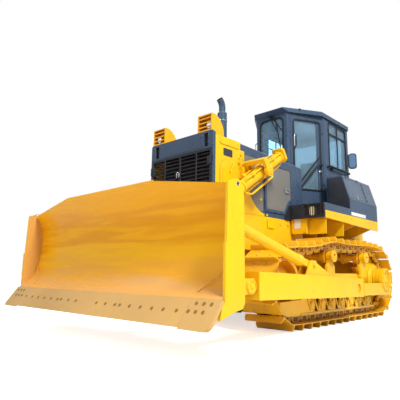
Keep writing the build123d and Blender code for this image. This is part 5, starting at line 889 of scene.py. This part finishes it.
# ---- Side boxes -----------------------------------------------------------------------
# Sheet-metal lockers beside the cab: battery in one, tools in the other. The front face is
# near black, and each sloping lid has a sprung latch, with a knuckled seam behind it.
BOX_SLOPE = (0.9588, 0.2841)  # the way that a lid faces: outward, and up
LID_LATCH = (1.1822, 1.50, 1.95)
LID_SEAM = (1.1430, 1.862, 2.0825)
box_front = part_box("side_box_left")[0][1] - 0.0003
dress(slate, "side_box_left", "side_box_right", "box_lid_left", "box_lid_right")
box_outline = ((0.812, 1.735), (1.188, 1.735), (1.188, 1.885), (1.074, 2.27), (0.812, 2.27))
for side, end in SIDES:
    # local X runs to the machine's left
    face = bmesh.new()
    outline = [(x * side, z) for x, z in box_outline][::side]
    solid(face, facing((0, box_front, 0), (0, -1, 0)), outline, 0.004, 0.0015)
    piece(f"box_face_{end}", face, black, "machine")
    latch = bmesh.new()
    slope = Vector((side * BOX_SLOPE[0], 0, BOX_SLOPE[1]))
    at = facing(Vector((side * LID_LATCH[0], *LID_LATCH[1:])) + slope * 0.002, slope)
    solid(latch, at, rounded(0.060, 0.085, 0.012), 0.006, 0.002)
    loop = ((-0.02, -0.02, 0.004), (-0.02, -0.02, 0.02), (0.02, -0.02, 0.02), (0.02, -0.02, 0.004))
    bar(latch, eased([at @ Vector(p) for p in loop], 0.006), 0.004, 8)
    piece(f"lid_latches_{end}", latch, chrome, f"box_lid_{end}")
    # the rubber seam behind the lid, and the folded drip edge along the eaves
    seam = bmesh.new()
    at = facing(Vector((side * LID_SEAM[0], *LID_SEAM[1:])) + slope * 0.0003, slope)
    solid(seam, at, rounded(0.010, 0.37, 0.004, 2), 0.003, 0.001)
    for k in range(5):
        knuckle = at @ shift(side * 0.022, -0.15 + 0.075 * k, 0)
        solid(seam, knuckle, rounded(0.014, 0.030, 0.004, 2), 0.004, 0.001)
    piece(f"lid_seam_{end}", seam, rubber, "machine")
    drip = bmesh.new()
    bar(drip, ((side * 1.1995, 1.18, 1.889), (side * 1.1995, 2.262, 1.889)), 0.0045, 8)
    piece(f"drip_edge_{end}", drip, slate, "machine")

# ---- Cab ------------------------------------------------------------------------------
# A welded shell of blue-grey panels with flat tinted glass in black rubber seals. Wipers,
# grab rails, chrome handles and mirrors are screwed on outside.
cab_front_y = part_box("cab_front")[0][1] - 0.0002
cab_rear_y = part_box("cab_rear")[1][1] + 0.0002
cab_side_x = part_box("cab_side_left")[1][0] + 0.0003
SEAL_WIDTH, SEAL_DEPTH = 0.030, 0.010
dress(slate, "cab_floor", "cab_front", "cab_rear", "cab_roof")
dress(slate, "cab_side_left", "cab_side_right", "cab_door_left", "cab_door_right")
glass_constants = {"Transmission Weight": 0.80, "IOR": 1.12, "Specular IOR Level": 0.9}
tinted, tree, skin = coating("tinted_glass", "window_glass", glass_constants)
haze = noise(tree, 3.0, 6.0)
film = {
    "Roughness": spread(tree, haze, 0.4, 0.7, 0.02, 0.09),
    "Base Color": tint(tree, haze, (0.34, 0.55, 0.70), (0.58, 0.78, 0.90)),
}
connect(tree, skin, film)
dress(tinted, "cab_windows", "door_window_left", "door_window_right")
mirror_blue = enamel(
    "mirror_glass", "window_glass", (0.10, 0.20, 0.36), (0.4, 0.5, 0.6), rough=0.06, dust=0.05, coat=1.0
)
rail_black = enamel(
    "rail_enamel",
    "cab_trim",
    (0.012, 0.014, 0.018),
    (0.12, 0.13, 0.15),
    rough=0.42,
    dust=0.05,
    coat=0.0,
    rub=0.3,
)


def band(bm, at, outline, width, depth):
    """A seal or frame: a closed strip of this width inside a flat outline, raised along Z."""
    outline = [Vector(p) for p in outline]
    count = len(outline)
    middle = sum(outline, Vector((0, 0))) / count
    section = (
        (0, 0), (0, depth * 0.7), (width * 0.25, depth), (width * 0.75, depth), (width, depth * 0.6),
        (width, 0),
    )
    rings = []
    for inset, height in section:
        ring = []
        for k, here in enumerate(outline):
            first = (here - outline[k - 1]).normalized()
            second = (outline[(k + 1) % count] - here).normalized()
            bisector = first + second
            inward = Vector((-bisector.y, bisector.x)).normalized()
            if (middle - here).dot(inward) < 0:
                inward = -inward
            reach = inset / max(0.5, abs(Vector((-first.y, first.x)).dot(inward)))
            ring.append(bm.verts.new(at @ Vector((*(here + inward * reach), height))))
        rings.append(ring)
    for low, high in zip(rings, rings[1:]):
        for k in range(count):
            j = (k + 1) % count
            bm.faces.new((low[k], low[j], high[j], high[k]))


# the seals of the windscreen, the rear window and the side windows, with their glazing bars
seal = bmesh.new()
windscreen, rear_window = rounded(0.51, 1.22, 0.1, 8), rounded(1.15, 0.93, 0.07, 8)
band(seal, facing((0, cab_front_y, 2.79), (0, -1, 0)), windscreen, SEAL_WIDTH, SEAL_DEPTH)
band(seal, facing((0, cab_rear_y, 2.86), (0, 1, 0)), rear_window, SEAL_WIDTH, SEAL_DEPTH)
for side, end in SIDES:
    at = facing((side * cab_side_x, 1.89, 2.994), (side, 0, 0))
    band(seal, at, rounded(0.71, 0.842, 0.05, 6), SEAL_WIDTH, SEAL_DEPTH)
    solid(seal, at @ shift(0, 0.203, -0.006), rounded(0.66, 0.022, 0.005, 2), 0.012, 0.003)
    solid(seal, at @ shift(-side * 0.008, 0, -0.006), rounded(0.026, 0.79, 0.005, 2), 0.012, 0.003)
piece("window_seals", seal, rubber, "machine")
# two wiper arms on their spindles, and the blade that they carry
wipers = bmesh.new()
for foot_x, foot_z, tip_x, tip_z in ((-0.024, 3.444, 0.152, 3.104), (0.037, 3.432, 0.206, 3.162)):
    arm = ((foot_x, 0.728, foot_z), (foot_x, 0.714, foot_z), (tip_x, 0.718, tip_z))
    bar(wipers, arm, 0.011, 8)
    spindle = facing((foot_x, cab_front_y, foot_z), (0, -1, 0))
    turned(wipers, spindle, [(0.018, 0), (0.018, 0.016), (0.01, 0.022), (0, 0.022)], 16)
bar(wipers, ((0.11, 0.722, 3.30), (0.20, 0.722, 2.78)), 0.012, 8)
piece("wipers", wipers, rubber, "machine")

# the doors: seal, chrome handle bar, knob, and the diagonal grab rail
DOOR_LOW, DOOR_HIGH = 2.09, 3.36  # the seal's foot and top
DOOR_NEAR, DOOR_FAR = 0.108, 0.672  # its front and rear, along the door
HANDLE_NOTCH = 0.042
for side, end in SIDES:
    outward = (side, 0, 0)
    front_corner = Vector((side * 0.320, 0.735, 0))
    rear_corner = Vector((side * 0.680, 1.400, 0))
    along = (rear_corner - front_corner).normalized()
    out_way = Vector((side * along.y, -side * along.x, 0))

    def on_door(s, z, out=0.0):
        """A place on the door: s along it from its front corner, z up and out from its face."""
        return front_corner + along * s + out_way * out + Vector((0, 0, z))

    seal = bmesh.new()
    at = facing(on_door(0, 0, 0.0004), out_way)
    way = 1 if (at.to_3x3() @ Vector((1, 0, 0))).dot(along) > 0 else -1
    corners = [
        Vector(corner)
        for corner in (
            (DOOR_NEAR, DOOR_LOW), (DOOR_FAR, DOOR_LOW), (DOOR_FAR, DOOR_HIGH), (DOOR_NEAR, DOOR_HIGH),
            (DOOR_NEAR, 3.10), (DOOR_NEAR + HANDLE_NOTCH, 3.04), (DOOR_NEAR + HANDLE_NOTCH, 2.88),
            (DOOR_NEAR, 2.82),
        )
    ]
    outline = []
    for k, here in enumerate(corners):
        ease = 0.075 if k < 4 else 0.025
        back = (corners[k - 1] - here).normalized() * ease
        front = (corners[(k + 1) % len(corners)] - here).normalized() * ease
        for step in range(7):
            t = step / 6
            outline.append(here + back * (1 - t) ** 2 + front * t**2)
    band(seal, at, [(way * s, z) for s, z in outline], 0.034, 0.012)
    piece(f"door_seal_{end}", seal, rubber, f"cab_door_{end}")
    fittings = bmesh.new()
    handle = [(3.047, 0.002), (3.047, 0.045), (2.851, 0.045), (2.851, 0.002)]
    bar(fittings, eased([on_door(0.118, z, out) for z, out in handle], 0.03), 0.010, 12)
    knob = [(0.02, 0), (0.02, 0.008), (0.011, 0.012), (0.014, 0.028), (0.008, 0.034), (0, 0.034)]
    turned(fittings, facing(on_door(0.640, 2.445), out_way), knob, 20)
    piece(f"door_handle_{end}", fittings, chrome, f"cab_door_{end}")
    rail = bmesh.new()
    path = (
        on_door(0.119, 2.026, 0.001),
        on_door(0.119, 2.026, 0.060),
        on_door(0.554, 2.542, 0.060),
        on_door(0.66, 2.560, 0.060),
        on_door(0.66, 2.560, 0.001),
    )
    bar(rail, eased(path, 0.05), 0.019, 12)
    bar(rail, (on_door(0.170, 2.16, 0.016), on_door(0.62, 2.70, 0.016)), 0.012, 8)
    rail_foot = facing(on_door(0.119, 1.987), out_way)
    turned(rail, rail_foot, [(0.022, 0), (0.022, 0.010), (0.013, 0.018), (0, 0.018)], 18)
    piece(f"grab_rail_{end}", rail, rail_black, f"cab_door_{end}")
    # the rail below the side window, its clip, and the gutter along the roof
    side_rail = bmesh.new()
    wall_x, rail_x = side * cab_side_x, side * 0.738
    path = ((wall_x, 1.47, 2.562), (rail_x, 1.47, 2.562), (rail_x, 2.255, 2.562), (wall_x, 2.255, 2.562))
    bar(side_rail, eased(path, 0.04), 0.018, 12)
    solid(side_rail, facing((wall_x, 1.60, 2.543), outward), rounded(0.08, 0.045, 0.012), 0.024, 0.005)
    bar(side_rail, ((side * 0.690, 1.42, 3.440), (side * 0.690, 2.33, 3.440)), 0.008, 8)
    piece(f"side_rail_{end}", side_rail, rail_black, "machine")
    # the mirror in a rounded black housing on two stays
    mirror = bmesh.new()
    back_way = (side * 0.35, -0.94, 0)
    case = facing((side * 0.778, 2.305, 2.815), back_way)
    solid(mirror, case, rounded(0.152, 0.30, 0.05, 6), 0.026, 0.008)
    for z_from, z_to in ((2.95, 2.88), (2.72, 2.75)):
        bar(mirror, ((side * 0.69, 2.30, z_from), (side * 0.775, 2.33, z_to)), 0.010, 8)
    piece(f"mirror_case_{end}", mirror, rubber, "machine")
    mirror = bmesh.new()
    pane = facing((side * 0.7873, 2.2805, 2.815), back_way)
    solid(mirror, pane, rounded(0.118, 0.262, 0.038, 6), 0.002)
    piece(f"mirror_glass_{end}", mirror, mirror_blue, "machine")

# ---- Operator's seat ------------------------------------------------------------------
# A sprung seat with a thick foam cushion and back in black woven cloth with sewn piping,
# on a steel base inside rubber bellows.
SEAT_Y = 1.83
BACK_Y = 2.11
BELLOWS_PITCH = 0.036
cloth, tree, skin = coating("woven_cloth", "seat_cloth", {"Roughness": 0.9, "Sheen Weight": 0.4})
where = add(tree, "TexCoord").outputs["Object"]
threads = add(tree, "TexVoronoi", {"Vector": where, "Scale": 260}).outputs["Distance"]
weave = {"Strength": 0.35, "Distance": 0.002, "Height": threads}
woven = {
    "Base Color": tint(tree, noise(tree, 9, 5), (0.018, 0.020, 0.026), (0.055, 0.058, 0.066)),
    "Normal": add(tree, "Bump", weave).outputs["Normal"],
}
connect(tree, skin, woven)


def cushion(name, centre, size, corner, swell):
    """Foam in a sewn cover: a slightly small block blown up against its own cloth."""
    work = bmesh.new()
    width, length, height = [measure - 2 * swell for measure in size]
    outline = rounded(width, length, corner, 6)
    solid(work, shift(0, 0, -height / 2), outline, height, min(0.03, size[2] / 4))
    bmesh.ops.recalc_face_normals(work, faces=work.faces)
    mesh = bpy.data.meshes.new(name)
    work.to_mesh(mesh)
    work.free()
    made = bpy.data.objects.new(name, mesh)
    made.location = centre
    scene.collection.objects.link(made)
    for other in bpy.context.selected_objects:
        other.select_set(False)
    bpy.context.view_layer.objects.active = made
    made.select_set(True)
    grain = made.modifiers.new("grain", "REMESH")
    grain.mode = "VOXEL"
    grain.voxel_size = 0.0075
    bpy.ops.object.modifier_apply(modifier="grain")
    start = [v.co.copy() for v in made.data.vertices]
    blow = made.modifiers.new("blow", "CLOTH")
    blow.settings.use_pressure = True
    blow.settings.uniform_pressure_force = 4.0
    blow.settings.effector_weights.gravity = 0
    blow.point_cache.frame_start = 1
    blow.point_cache.frame_end = 20
    for frame_number in range(1, 21):
        scene.frame_set(frame_number)
    bpy.ops.object.modifier_apply(modifier="blow")
    scene.frame_set(1)
    # the cover doesn't stretch further than this
    limit = swell * 1.1
    for vertex, rest in zip(made.data.vertices, start):
        step = vertex.co - rest
        if step.length > limit:
            vertex.co = rest + step.normalized() * limit
    smooth = made.modifiers.new("smooth", "SUBSURF")
    smooth.levels = 1
    bpy.ops.object.modifier_apply(modifier="smooth")
    mesh = made.data
    mesh.shade_smooth()
    mesh.materials.clear()
    mesh.materials.append(cloth)
    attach(made, "machine")
    return made


pad = cushion("seat_cushion", (0, SEAT_Y, 2.21), (0.52, 0.52, 0.12), 0.08, 0.016)
rest = cushion("seat_back", (0, BACK_Y, 2.55), (0.52, 0.13, 0.70), 0.05, 0.016)
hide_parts("operator_seat")
base = bmesh.new()
solid(base, shift(0, 1.85, 1.8504), rounded(0.40, 0.42, 0.03), 0.06, 0.008)
for k in range(6):
    pleat = 0.012 * (k % 2)
    fold = rounded(0.34 - pleat, 0.36 - pleat, 0.04)
    solid(base, shift(0, 1.85, 1.9104 + BELLOWS_PITCH * k), fold, BELLOWS_PITCH, 0.006)
solid(base, shift(0, 1.85, 2.1264), rounded(0.42, 0.42, 0.05), 0.026, 0.006)
piece("seat_base", base, rubber, "machine")
piping = bmesh.new()
rim = rounded(0.46, 0.46, 0.07, 6)
bar(piping, [(x, SEAT_Y + y, 2.264) for x, y in (*rim, rim[0])], 0.004, 6)
rim = rounded(0.46, 0.62, 0.07, 6)
bar(piping, [(x, BACK_Y - 0.06, 2.55 + z) for x, z in (*rim, rim[0])], 0.004, 6)
piece("seat_piping", piping, rubber, "machine")

# ---- Console and levers ---------------------------------------------------------------
# Moulded plastic consoles with switches, a rubber-booted lever each side and a blank
# instrument panel with round dials.
CONSOLE_TOP = 2.4303
trim_plastic = enamel(
    "console_plastic", "cab_trim", (0.045, 0.048, 0.055), (0.14, 0.14, 0.15), rough=0.5, dust=0.16, coat=0
)
dress(trim_plastic, "console")
boot = [(0.05, 0), (0.046, 0.012), (0.038, 0.016), (0.034, 0.028), (0.026, 0.032), (0.014, 0.05)]
grip = [(0.012, 0), (0.027, 0.012), (0.030, 0.045), (0.022, 0.078), (0, 0.084)]
levers = bmesh.new()
for x in (-0.40, 0.40):
    turned(levers, shift(x, 1.74, CONSOLE_TOP), boot, 20)
    bar(levers, ((x, 1.74, 2.47), (x * 0.97, 1.72, 2.60)), 0.009, 10)
    turned(levers, facing((x * 0.97, 1.72, 2.585), (0, -0.1, 1), (0, 1, 0)), grip, 16)
    for k in range(4):
        solid(levers, shift(x, 1.88 + 0.045 * k, CONSOLE_TOP), rounded(0.05, 0.026, 0.006), 0.012, 0.003)
piece("levers", levers, rubber, "machine")
dials = bmesh.new()
rim = [(0.044, 0), (0.044, 0.007), (0.038, 0.009), (0.036, 0.004), (0, 0.004)]
for x in (-0.11, 0, 0.11):
    turned(dials, facing((x, 1.1004, 2.50), (0, 1, 0)), rim, 24)
piece("dials", dials, chrome, "machine")

# ---- Fuel tank and towing gear --------------------------------------------------------
# A welded tank across the rear with four ribs, a filler cap and tail lamps, above the
# drawbar's clevis and its pads for a ripper.
tank_rear_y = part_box("fuel_tank")[1][1] + 0.0003
FILLER_X = 0.42
rearward = (0, 1, 0)
dress(yellow, "fuel_tank", "drawbar")
tail = bmesh.new()
for x in (-0.60, -0.2, 0.2, 0.60):
    solid(tail, facing((x, tank_rear_y, 1.78), rearward), rounded(0.05, 0.86, 0.015), 0.010, 0.003)
for x in (-0.64, 0.64):
    for z in (1.34, 1.62, 1.92, 2.22):
        bolt(tail, facing((x, tank_rear_y, z), rearward), 0.013)
cap = [(0.07, 0), (0.07, 0.02), (0.055, 0.024), (0.055, 0.055), (0.048, 0.062), (0, 0.062)]
turned(tail, shift(FILLER_X, 2.60, 2.2803), cap, 28)
bar(tail, ((FILLER_X - 0.05, 2.60, 2.345), (FILLER_X + 0.05, 2.60, 2.345)), 0.010, 8)
solid(tail, facing((0, 2.5604, 1.02), rearward), rounded(0.20, 0.12, 0.02), 0.008, 0.003)
piece("tank_fittings", tail, yellow, "machine")
lamps = bmesh.new()
for x in (-0.50, 0.50):
    solid(lamps, facing((x, tank_rear_y, 2.15), rearward), rounded(0.15, 0.085, 0.02), 0.028, 0.008)
piece("tail_lamps", lamps, red_plastic, "machine")

# ---- Blade ----------------------------------------------------------------------------
# A rolled moldboard in glossy amber enamel with painted reflections in bands, tan and scoured lower down,
# with bolted-on cutting edges and end bits. Bright yellow end plates close it.
edge_low, edge_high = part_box("cutting_edge")
edge_top, edge_tip = Vector((-2.686, edge_high[2])), Vector((edge_low[1], edge_low[2]))
moldboard_top, moldboard_middle = Vector((-2.620, 1.594)), Vector((-2.412, 1.170))
LIFT_EYE_Y, LIFT_EYE_Z = -2.495, 1.448
EYE_PLATE_X, EYE_PLATE_FACE_X = 1.834, 1.8197  # the plate's middle, and its inner face
amber = enamel(
    "amber_enamel",
    "blade_paint",
    (0.86, 0.36, 0.015),
    (0.97, 0.70, 0.30),
    rough=0.24,
    dust=0.14,
    drift=0.16,
    coat=0.10,
    rub=0.5,
    shade_depth=0.2,
)
# painted reflections: soft bright and dark bands lie along the moldboard, broken by level streaks, and it
# turns tan lower down
tree = amber.node_tree
skin = tree.nodes["Principled BSDF"]
enamelled = skin.inputs["Base Color"].links[0].from_socket
where = add(tree, "TexCoord").outputs["Object"]
height = add(tree, "SeparateXYZ", {0: where}).outputs["Z"]
stretched = add(tree, "Mapping", {"Vector": where, "Scale": (0.5, 2.0, 6.0)}).outputs[0]
streak = noise(tree, 1.6, 7, vector=stretched)
wander = add(tree, "Math", {0: streak, 1: 0.62, 2: height}, operation="MULTIPLY_ADD").outputs[0]
reflection_bands = add(tree, "ValToRGB", {"Fac": spread(tree, wander, 0.50, 1.92)})
reflection_bands.color_ramp.interpolation = "EASE"
stops = reflection_bands.color_ramp.elements
stops[0].color = (0.70, 0.42, 0.17, 1)
stops[1].color = (0.97, 0.48, 0.02, 1)
for place, colour in (
    (0.20, (0.76, 0.43, 0.15)),
    (0.36, (0.90, 0.43, 0.03)),
    (0.50, (0.99, 0.52, 0.004)),
    (0.60, (0.84, 0.35, 0.001)),
    (0.68, (0.96, 0.46, 0.003)),
    (0.76, (0.82, 0.34, 0.001)),
    (0.88, (0.94, 0.44, 0.003)),
):
    stops.new(place).color = (*colour, 1)
reflection_banded = add(tree, "Mix", data_type="RGBA")
connect(tree, reflection_banded, {"Factor": 0.85, "A": enamelled, "B": reflection_bands.outputs["Color"]})
rolled = {
    "Specular Tint": (1.0, 0.66, 0.16, 1),
    "Base Color": reflection_banded.outputs["Result"],
    "Roughness": spread(tree, streak, 0.42, 0.60, 0.12, 0.42),
}
connect(tree, skin, rolled)
dress(amber, "moldboard")
# the cutting edges are scoured to a duller tan
scoured = enamel(
    "scoured_edge",
    "blade_paint",
    (0.66, 0.40, 0.135),
    (0.92, 0.68, 0.34),
    rough=0.34,
    dust=0.3,
    drift=0.14,
    coat=0.1,
)
dress(scoured, "cutting_edge", "end_bits")
# the end plates are sprayed amber with the blade inside, and yellow with the machine outside
two_tone = enamel("end_plate_enamel", "yellow_paint", (0.97, 0.57, 0.006), (1.0, 0.84, 0.30), coat=0.3)
tree = two_tone.node_tree
skin = tree.nodes["Principled BSDF"]
enamelled = skin.inputs["Base Color"].links[0].from_socket
spot = add(tree, "TexCoord").outputs
# place times normal is well below nought on the faces that look towards the blade's middle
inward = add(tree, "VectorMath", {0: spot["Object"], 1: spot["Normal"]}, operation="MULTIPLY")
facing_in = add(tree, "SeparateXYZ", {0: inward.outputs["Vector"]}).outputs["X"]
inside = spread(tree, facing_in, -0.9, -1.5)
connect(tree, skin, {"Base Color": tint(tree, inside, enamelled, (0.72, 0.38, 0.09))})
dress(two_tone, "end_plates")

# plough bolts along the edges, set into the slope of the cutting edge
bolt_steel = enamel(
    "edge_bolt_steel", "blade_paint", (0.30, 0.15, 0.03), (0.7, 0.45, 0.18), rough=0.4, dust=0.3, coat=0
)
down = (edge_tip - edge_top).normalized()
out_flat = Vector((down.y, -down.x))
sunk_head = [(0.0165, 0), (0.0165, 0.003), (0.013, 0.0042), (0.009, 0.002), (0, 0.002)]
heads = bmesh.new()
for drop, bolt_xs in (
    (0.131, (0.201, 0.361, 0.524, 0.604, 0.757, 0.920, 1.081, 1.235, 1.403)),
    (0.126, (1.540, 1.624, 1.706)),
    (0.048, (1.588, 1.674, 1.758)),
):
    place = edge_top + down * drop + out_flat * 0.0004
    for x in (*bolt_xs, *[-x for x in bolt_xs]):
        at = facing((x, place.x, place.y), (0, out_flat.x, out_flat.y), (1, 0, 0))
        turned(heads, at, sunk_head, 18)
piece("edge_bolts", heads, bolt_steel, "blade")

# weld beads up the hollow of the moldboard, from its lower corners: the middle of the
# hollow's circle comes from three points on it
chords = [moldboard_middle - moldboard_top, edge_top - moldboard_top]
squares = [
    (p.length_squared - moldboard_top.length_squared) / 2 for p in (moldboard_middle, edge_top)
]
scale = chords[0].x * chords[1].y - chords[0].y * chords[1].x
hollow = Vector(
    (
        (squares[0] * chords[1].y - chords[0].y * squares[1]) / scale,
        (chords[0].x * squares[1] - squares[0] * chords[1].x) / scale,
    )
)
hollow_radius = (moldboard_top - hollow).length
welds = bmesh.new()
for side, end in SIDES:
    bead = []
    for k in range(25):
        x = 1.514 + 0.296 * k / 24
        z = 0.540 + 0.235 * (k / 24) ** 0.8
        y = hollow.x + math.sqrt(hollow_radius**2 - (z - hollow.y) ** 2)
        bead.append((side * x, y - 0.002, z))
    bar(welds, bead, 0.006, 8)
piece("corner_welds", welds, amber, "blade")

# the bright sleeve in each lifting eye, and its ring on the inner face
sleeve = [(0.0212, -0.0138), (0.0212, 0.0138), (0.0150, 0.0138), (0.0150, -0.0138), (0.0212, -0.0138)]
washer = [(0.022, 0), (0.034, 0), (0.034, 0.002), (0.031, 0.0035), (0.024, 0.0035), (0.022, 0.002)]
for side, end in SIDES:
    ring = bmesh.new()
    turned(ring, facing((side * EYE_PLATE_X, LIFT_EYE_Y, LIFT_EYE_Z), (side, 0, 0)), sleeve, 28)
    turned(ring, facing((side * EYE_PLATE_FACE_X, LIFT_EYE_Y, LIFT_EYE_Z), (-side, 0, 0)), washer, 28)
    piece(f"eye_ring_{end}", ring, chrome, "blade")

# ---- Push arms and braces -------------------------------------------------------------
# Box arms hinged on the track frames, with round forged joints at the blade. Each tubular
# brace screws in and out at its foot, and grease plugs sit on every pin.
JOINT_X, JOINT_Y, JOINT_Z = 1.545, -1.910, 0.566
BRACE_X = 1.470
BRACE_FACE = 0.0745  # from the middle of the brace to the face of its eye
dress(yellow, "push_arm_left", "push_arm_right", "blade_braces")
joint_cap = [
    (0.072, 0), (0.072, 0.006), (0.052, 0.010), (0.050, 0.003), (0.024, 0.003), (0.022, 0.012), (0, 0.012)
]
foot_collar = [(0.058, 0), (0.066, 0.004), (0.066, 0.05), (0.060, 0.056), (0.0585, 0.09)]
head_collar = [(0.0583, 0), (0.065, 0.005), (0.065, 0.04), (0.0583, 0.046)]
for side, end in SIDES:
    joint = bmesh.new()
    at = facing((side * JOINT_X, JOINT_Y, JOINT_Z), (side, 0, 0))
    turned(joint, at, joint_cap, 36)
    bolt_circle(joint, at @ shift(0, 0, 0.008), 0.061, 8, 22.5, 0.007)
    piece(f"arm_joint_{end}", joint, yellow, "blade")
    brace = bmesh.new()
    foot, head = Vector((side * BRACE_X, -0.660, 0.786)), Vector((side * BRACE_X, -2.320, 1.220))
    along = (head - foot).normalized()
    turned(brace, facing(foot + along * 0.235, along, (1, 0, 0)), foot_collar, 32)
    turned(brace, facing(head - along * 0.24, along, (1, 0, 0)), head_collar, 32)
    for place in (foot, head):
        bolt(brace, facing(place + Vector((side * BRACE_FACE, 0, 0)), (side, 0, 0)), 0.013)
    piece(f"brace_collars_{end}", brace, yellow, "blade")

# ---- Lift cylinders -------------------------------------------------------------------
# Double-acting cylinders in trunnion yokes beside the guard, with bolted glands, chromed
# rods and rigid oil pipes clamped along the tube.
tube_low, tube_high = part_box("lift_barrel_left")
tube_x = (tube_low[0] + tube_high[0]) / 2
yoke_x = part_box("lift_yokes")[1][0] + 0.0003
SADDLES = (-0.30, 0.24)  # along the tube from its trunnion
dress(yellow, "lift_barrel_left", "lift_barrel_right", "lift_yokes")
dress(chrome, "lift_rod_left", "lift_rod_right")
trunnion = Vector((0, -0.800, 2.015))
rod_end = Vector((0, -2.150, 1.120))
axis = (rod_end - trunnion).normalized()
over = Vector((0, axis.z, -axis.y))
if over.z < 0:
    over = -over
gland_nut = [
    (0.084, 0.0002), (0.084, 0.012), (0.070, 0.020), (0.050, 0.022), (0.048, 0.012), (0.0365, 0.012)
]
clamp_band = [(0.0763, 0), (0.080, 0.002), (0.080, 0.026), (0.0763, 0.028)]
pin_cap = [(0.058, 0), (0.058, 0.006), (0.050, 0.010), (0.018, 0.010), (0.015, 0.016), (0, 0.016)]
for side, end in SIDES:
    outward = (side, 0, 0)
    centre = trunnion + Vector((side * tube_x, 0, 0))

    def by_tube(s, rise, aside=0.0):
        """A place by the cylinder: s towards the rod's end, rise above its axis."""
        return centre + axis * s + over * rise + Vector((side * aside, 0, 0))

    fittings = bmesh.new()
    gland = facing(by_tube(0.600, 0), axis, over)
    turned(fittings, gland, gland_nut, 36)
    bolt_circle(fittings, gland @ shift(0, 0, 0.014), 0.068, 8, 22.5, 0.007)
    cap = facing(by_tube(-0.590, 0), -axis, over)
    bolt_circle(fittings, cap, 0.066, 4, 45, 0.011)
    turned(fittings, cap, [(0.05, 0), (0.05, 0.006), (0.03, 0.010), (0, 0.010)], 30)
    # the feed pipe stands off below the tube on two bent ends
    path = [
        by_tube(s, rise, 0.045)
        for s, rise in ((-0.14, -0.065), (-0.20, -0.150), (0.40, -0.150), (0.50, -0.070))
    ]
    bar(fittings, eased(path, 0.06), 0.014, 12)
    # a second pipe runs close under the tube
    path = [
        by_tube(s, rise)
        for s, rise in ((-0.520, -0.074), (-0.520, -0.102), (0.500, -0.102), (0.500, -0.078))
    ]
    bar(fittings, eased(path, 0.03), 0.012, 12)
    # two oil pipes along the upper sides of the tube, inside the yoke, each in two saddles
    for way in (-1, 1):
        off = (Vector((way * 0.76, 0, 0)) + over * 0.65).normalized()
        reach = 0.34 + 0.08 * way
        route = ((-0.505, 0.070), (-0.505, 0.106), (reach, 0.106), (reach, 0.070))
        run = [centre + axis * s + off * out for s, out in route]
        bar(fittings, eased(run, 0.02), 0.012, 12)
        for pipe_end in (run[0], run[-1]):
            turned(fittings, facing(pipe_end, off), [(0.024, 0), (0.024, 0.020), (0.014, 0.024)], 8)
        for s in SADDLES:
            saddle = facing(centre + axis * (s + 0.013) + off * 0.074, off, axis)
            solid(fittings, saddle, rounded(0.050, 0.045, 0.008), 0.047, 0.005)
            bolt(fittings, saddle @ shift(0, 0, 0.047), 0.008)
    for s in SADDLES:
        turned(fittings, facing(by_tube(s, 0), axis, over), clamp_band, 40)
    piece(f"cylinder_fittings_{end}", fittings, yellow, f"lift_barrel_{end}")
    # the yoke's bolts and the cap over its trunnion pin
    yoke = bmesh.new()
    at = facing((side * yoke_x, trunnion.y, trunnion.z), outward)
    turned(yoke, at, pin_cap, 32)
    bolt_circle(yoke, at @ shift(0, 0, 0.008), 0.038, 6, 0, 0.007)
    for y, z in ((-0.965, 2.155), (-0.755, 2.155), (-0.965, 1.94), (-0.755, 1.94)):
        bolt(yoke, facing((side * 0.6312, y, z), outward), 0.012)
    piece(f"yoke_bolts_{end}", yoke, yellow, "machine")
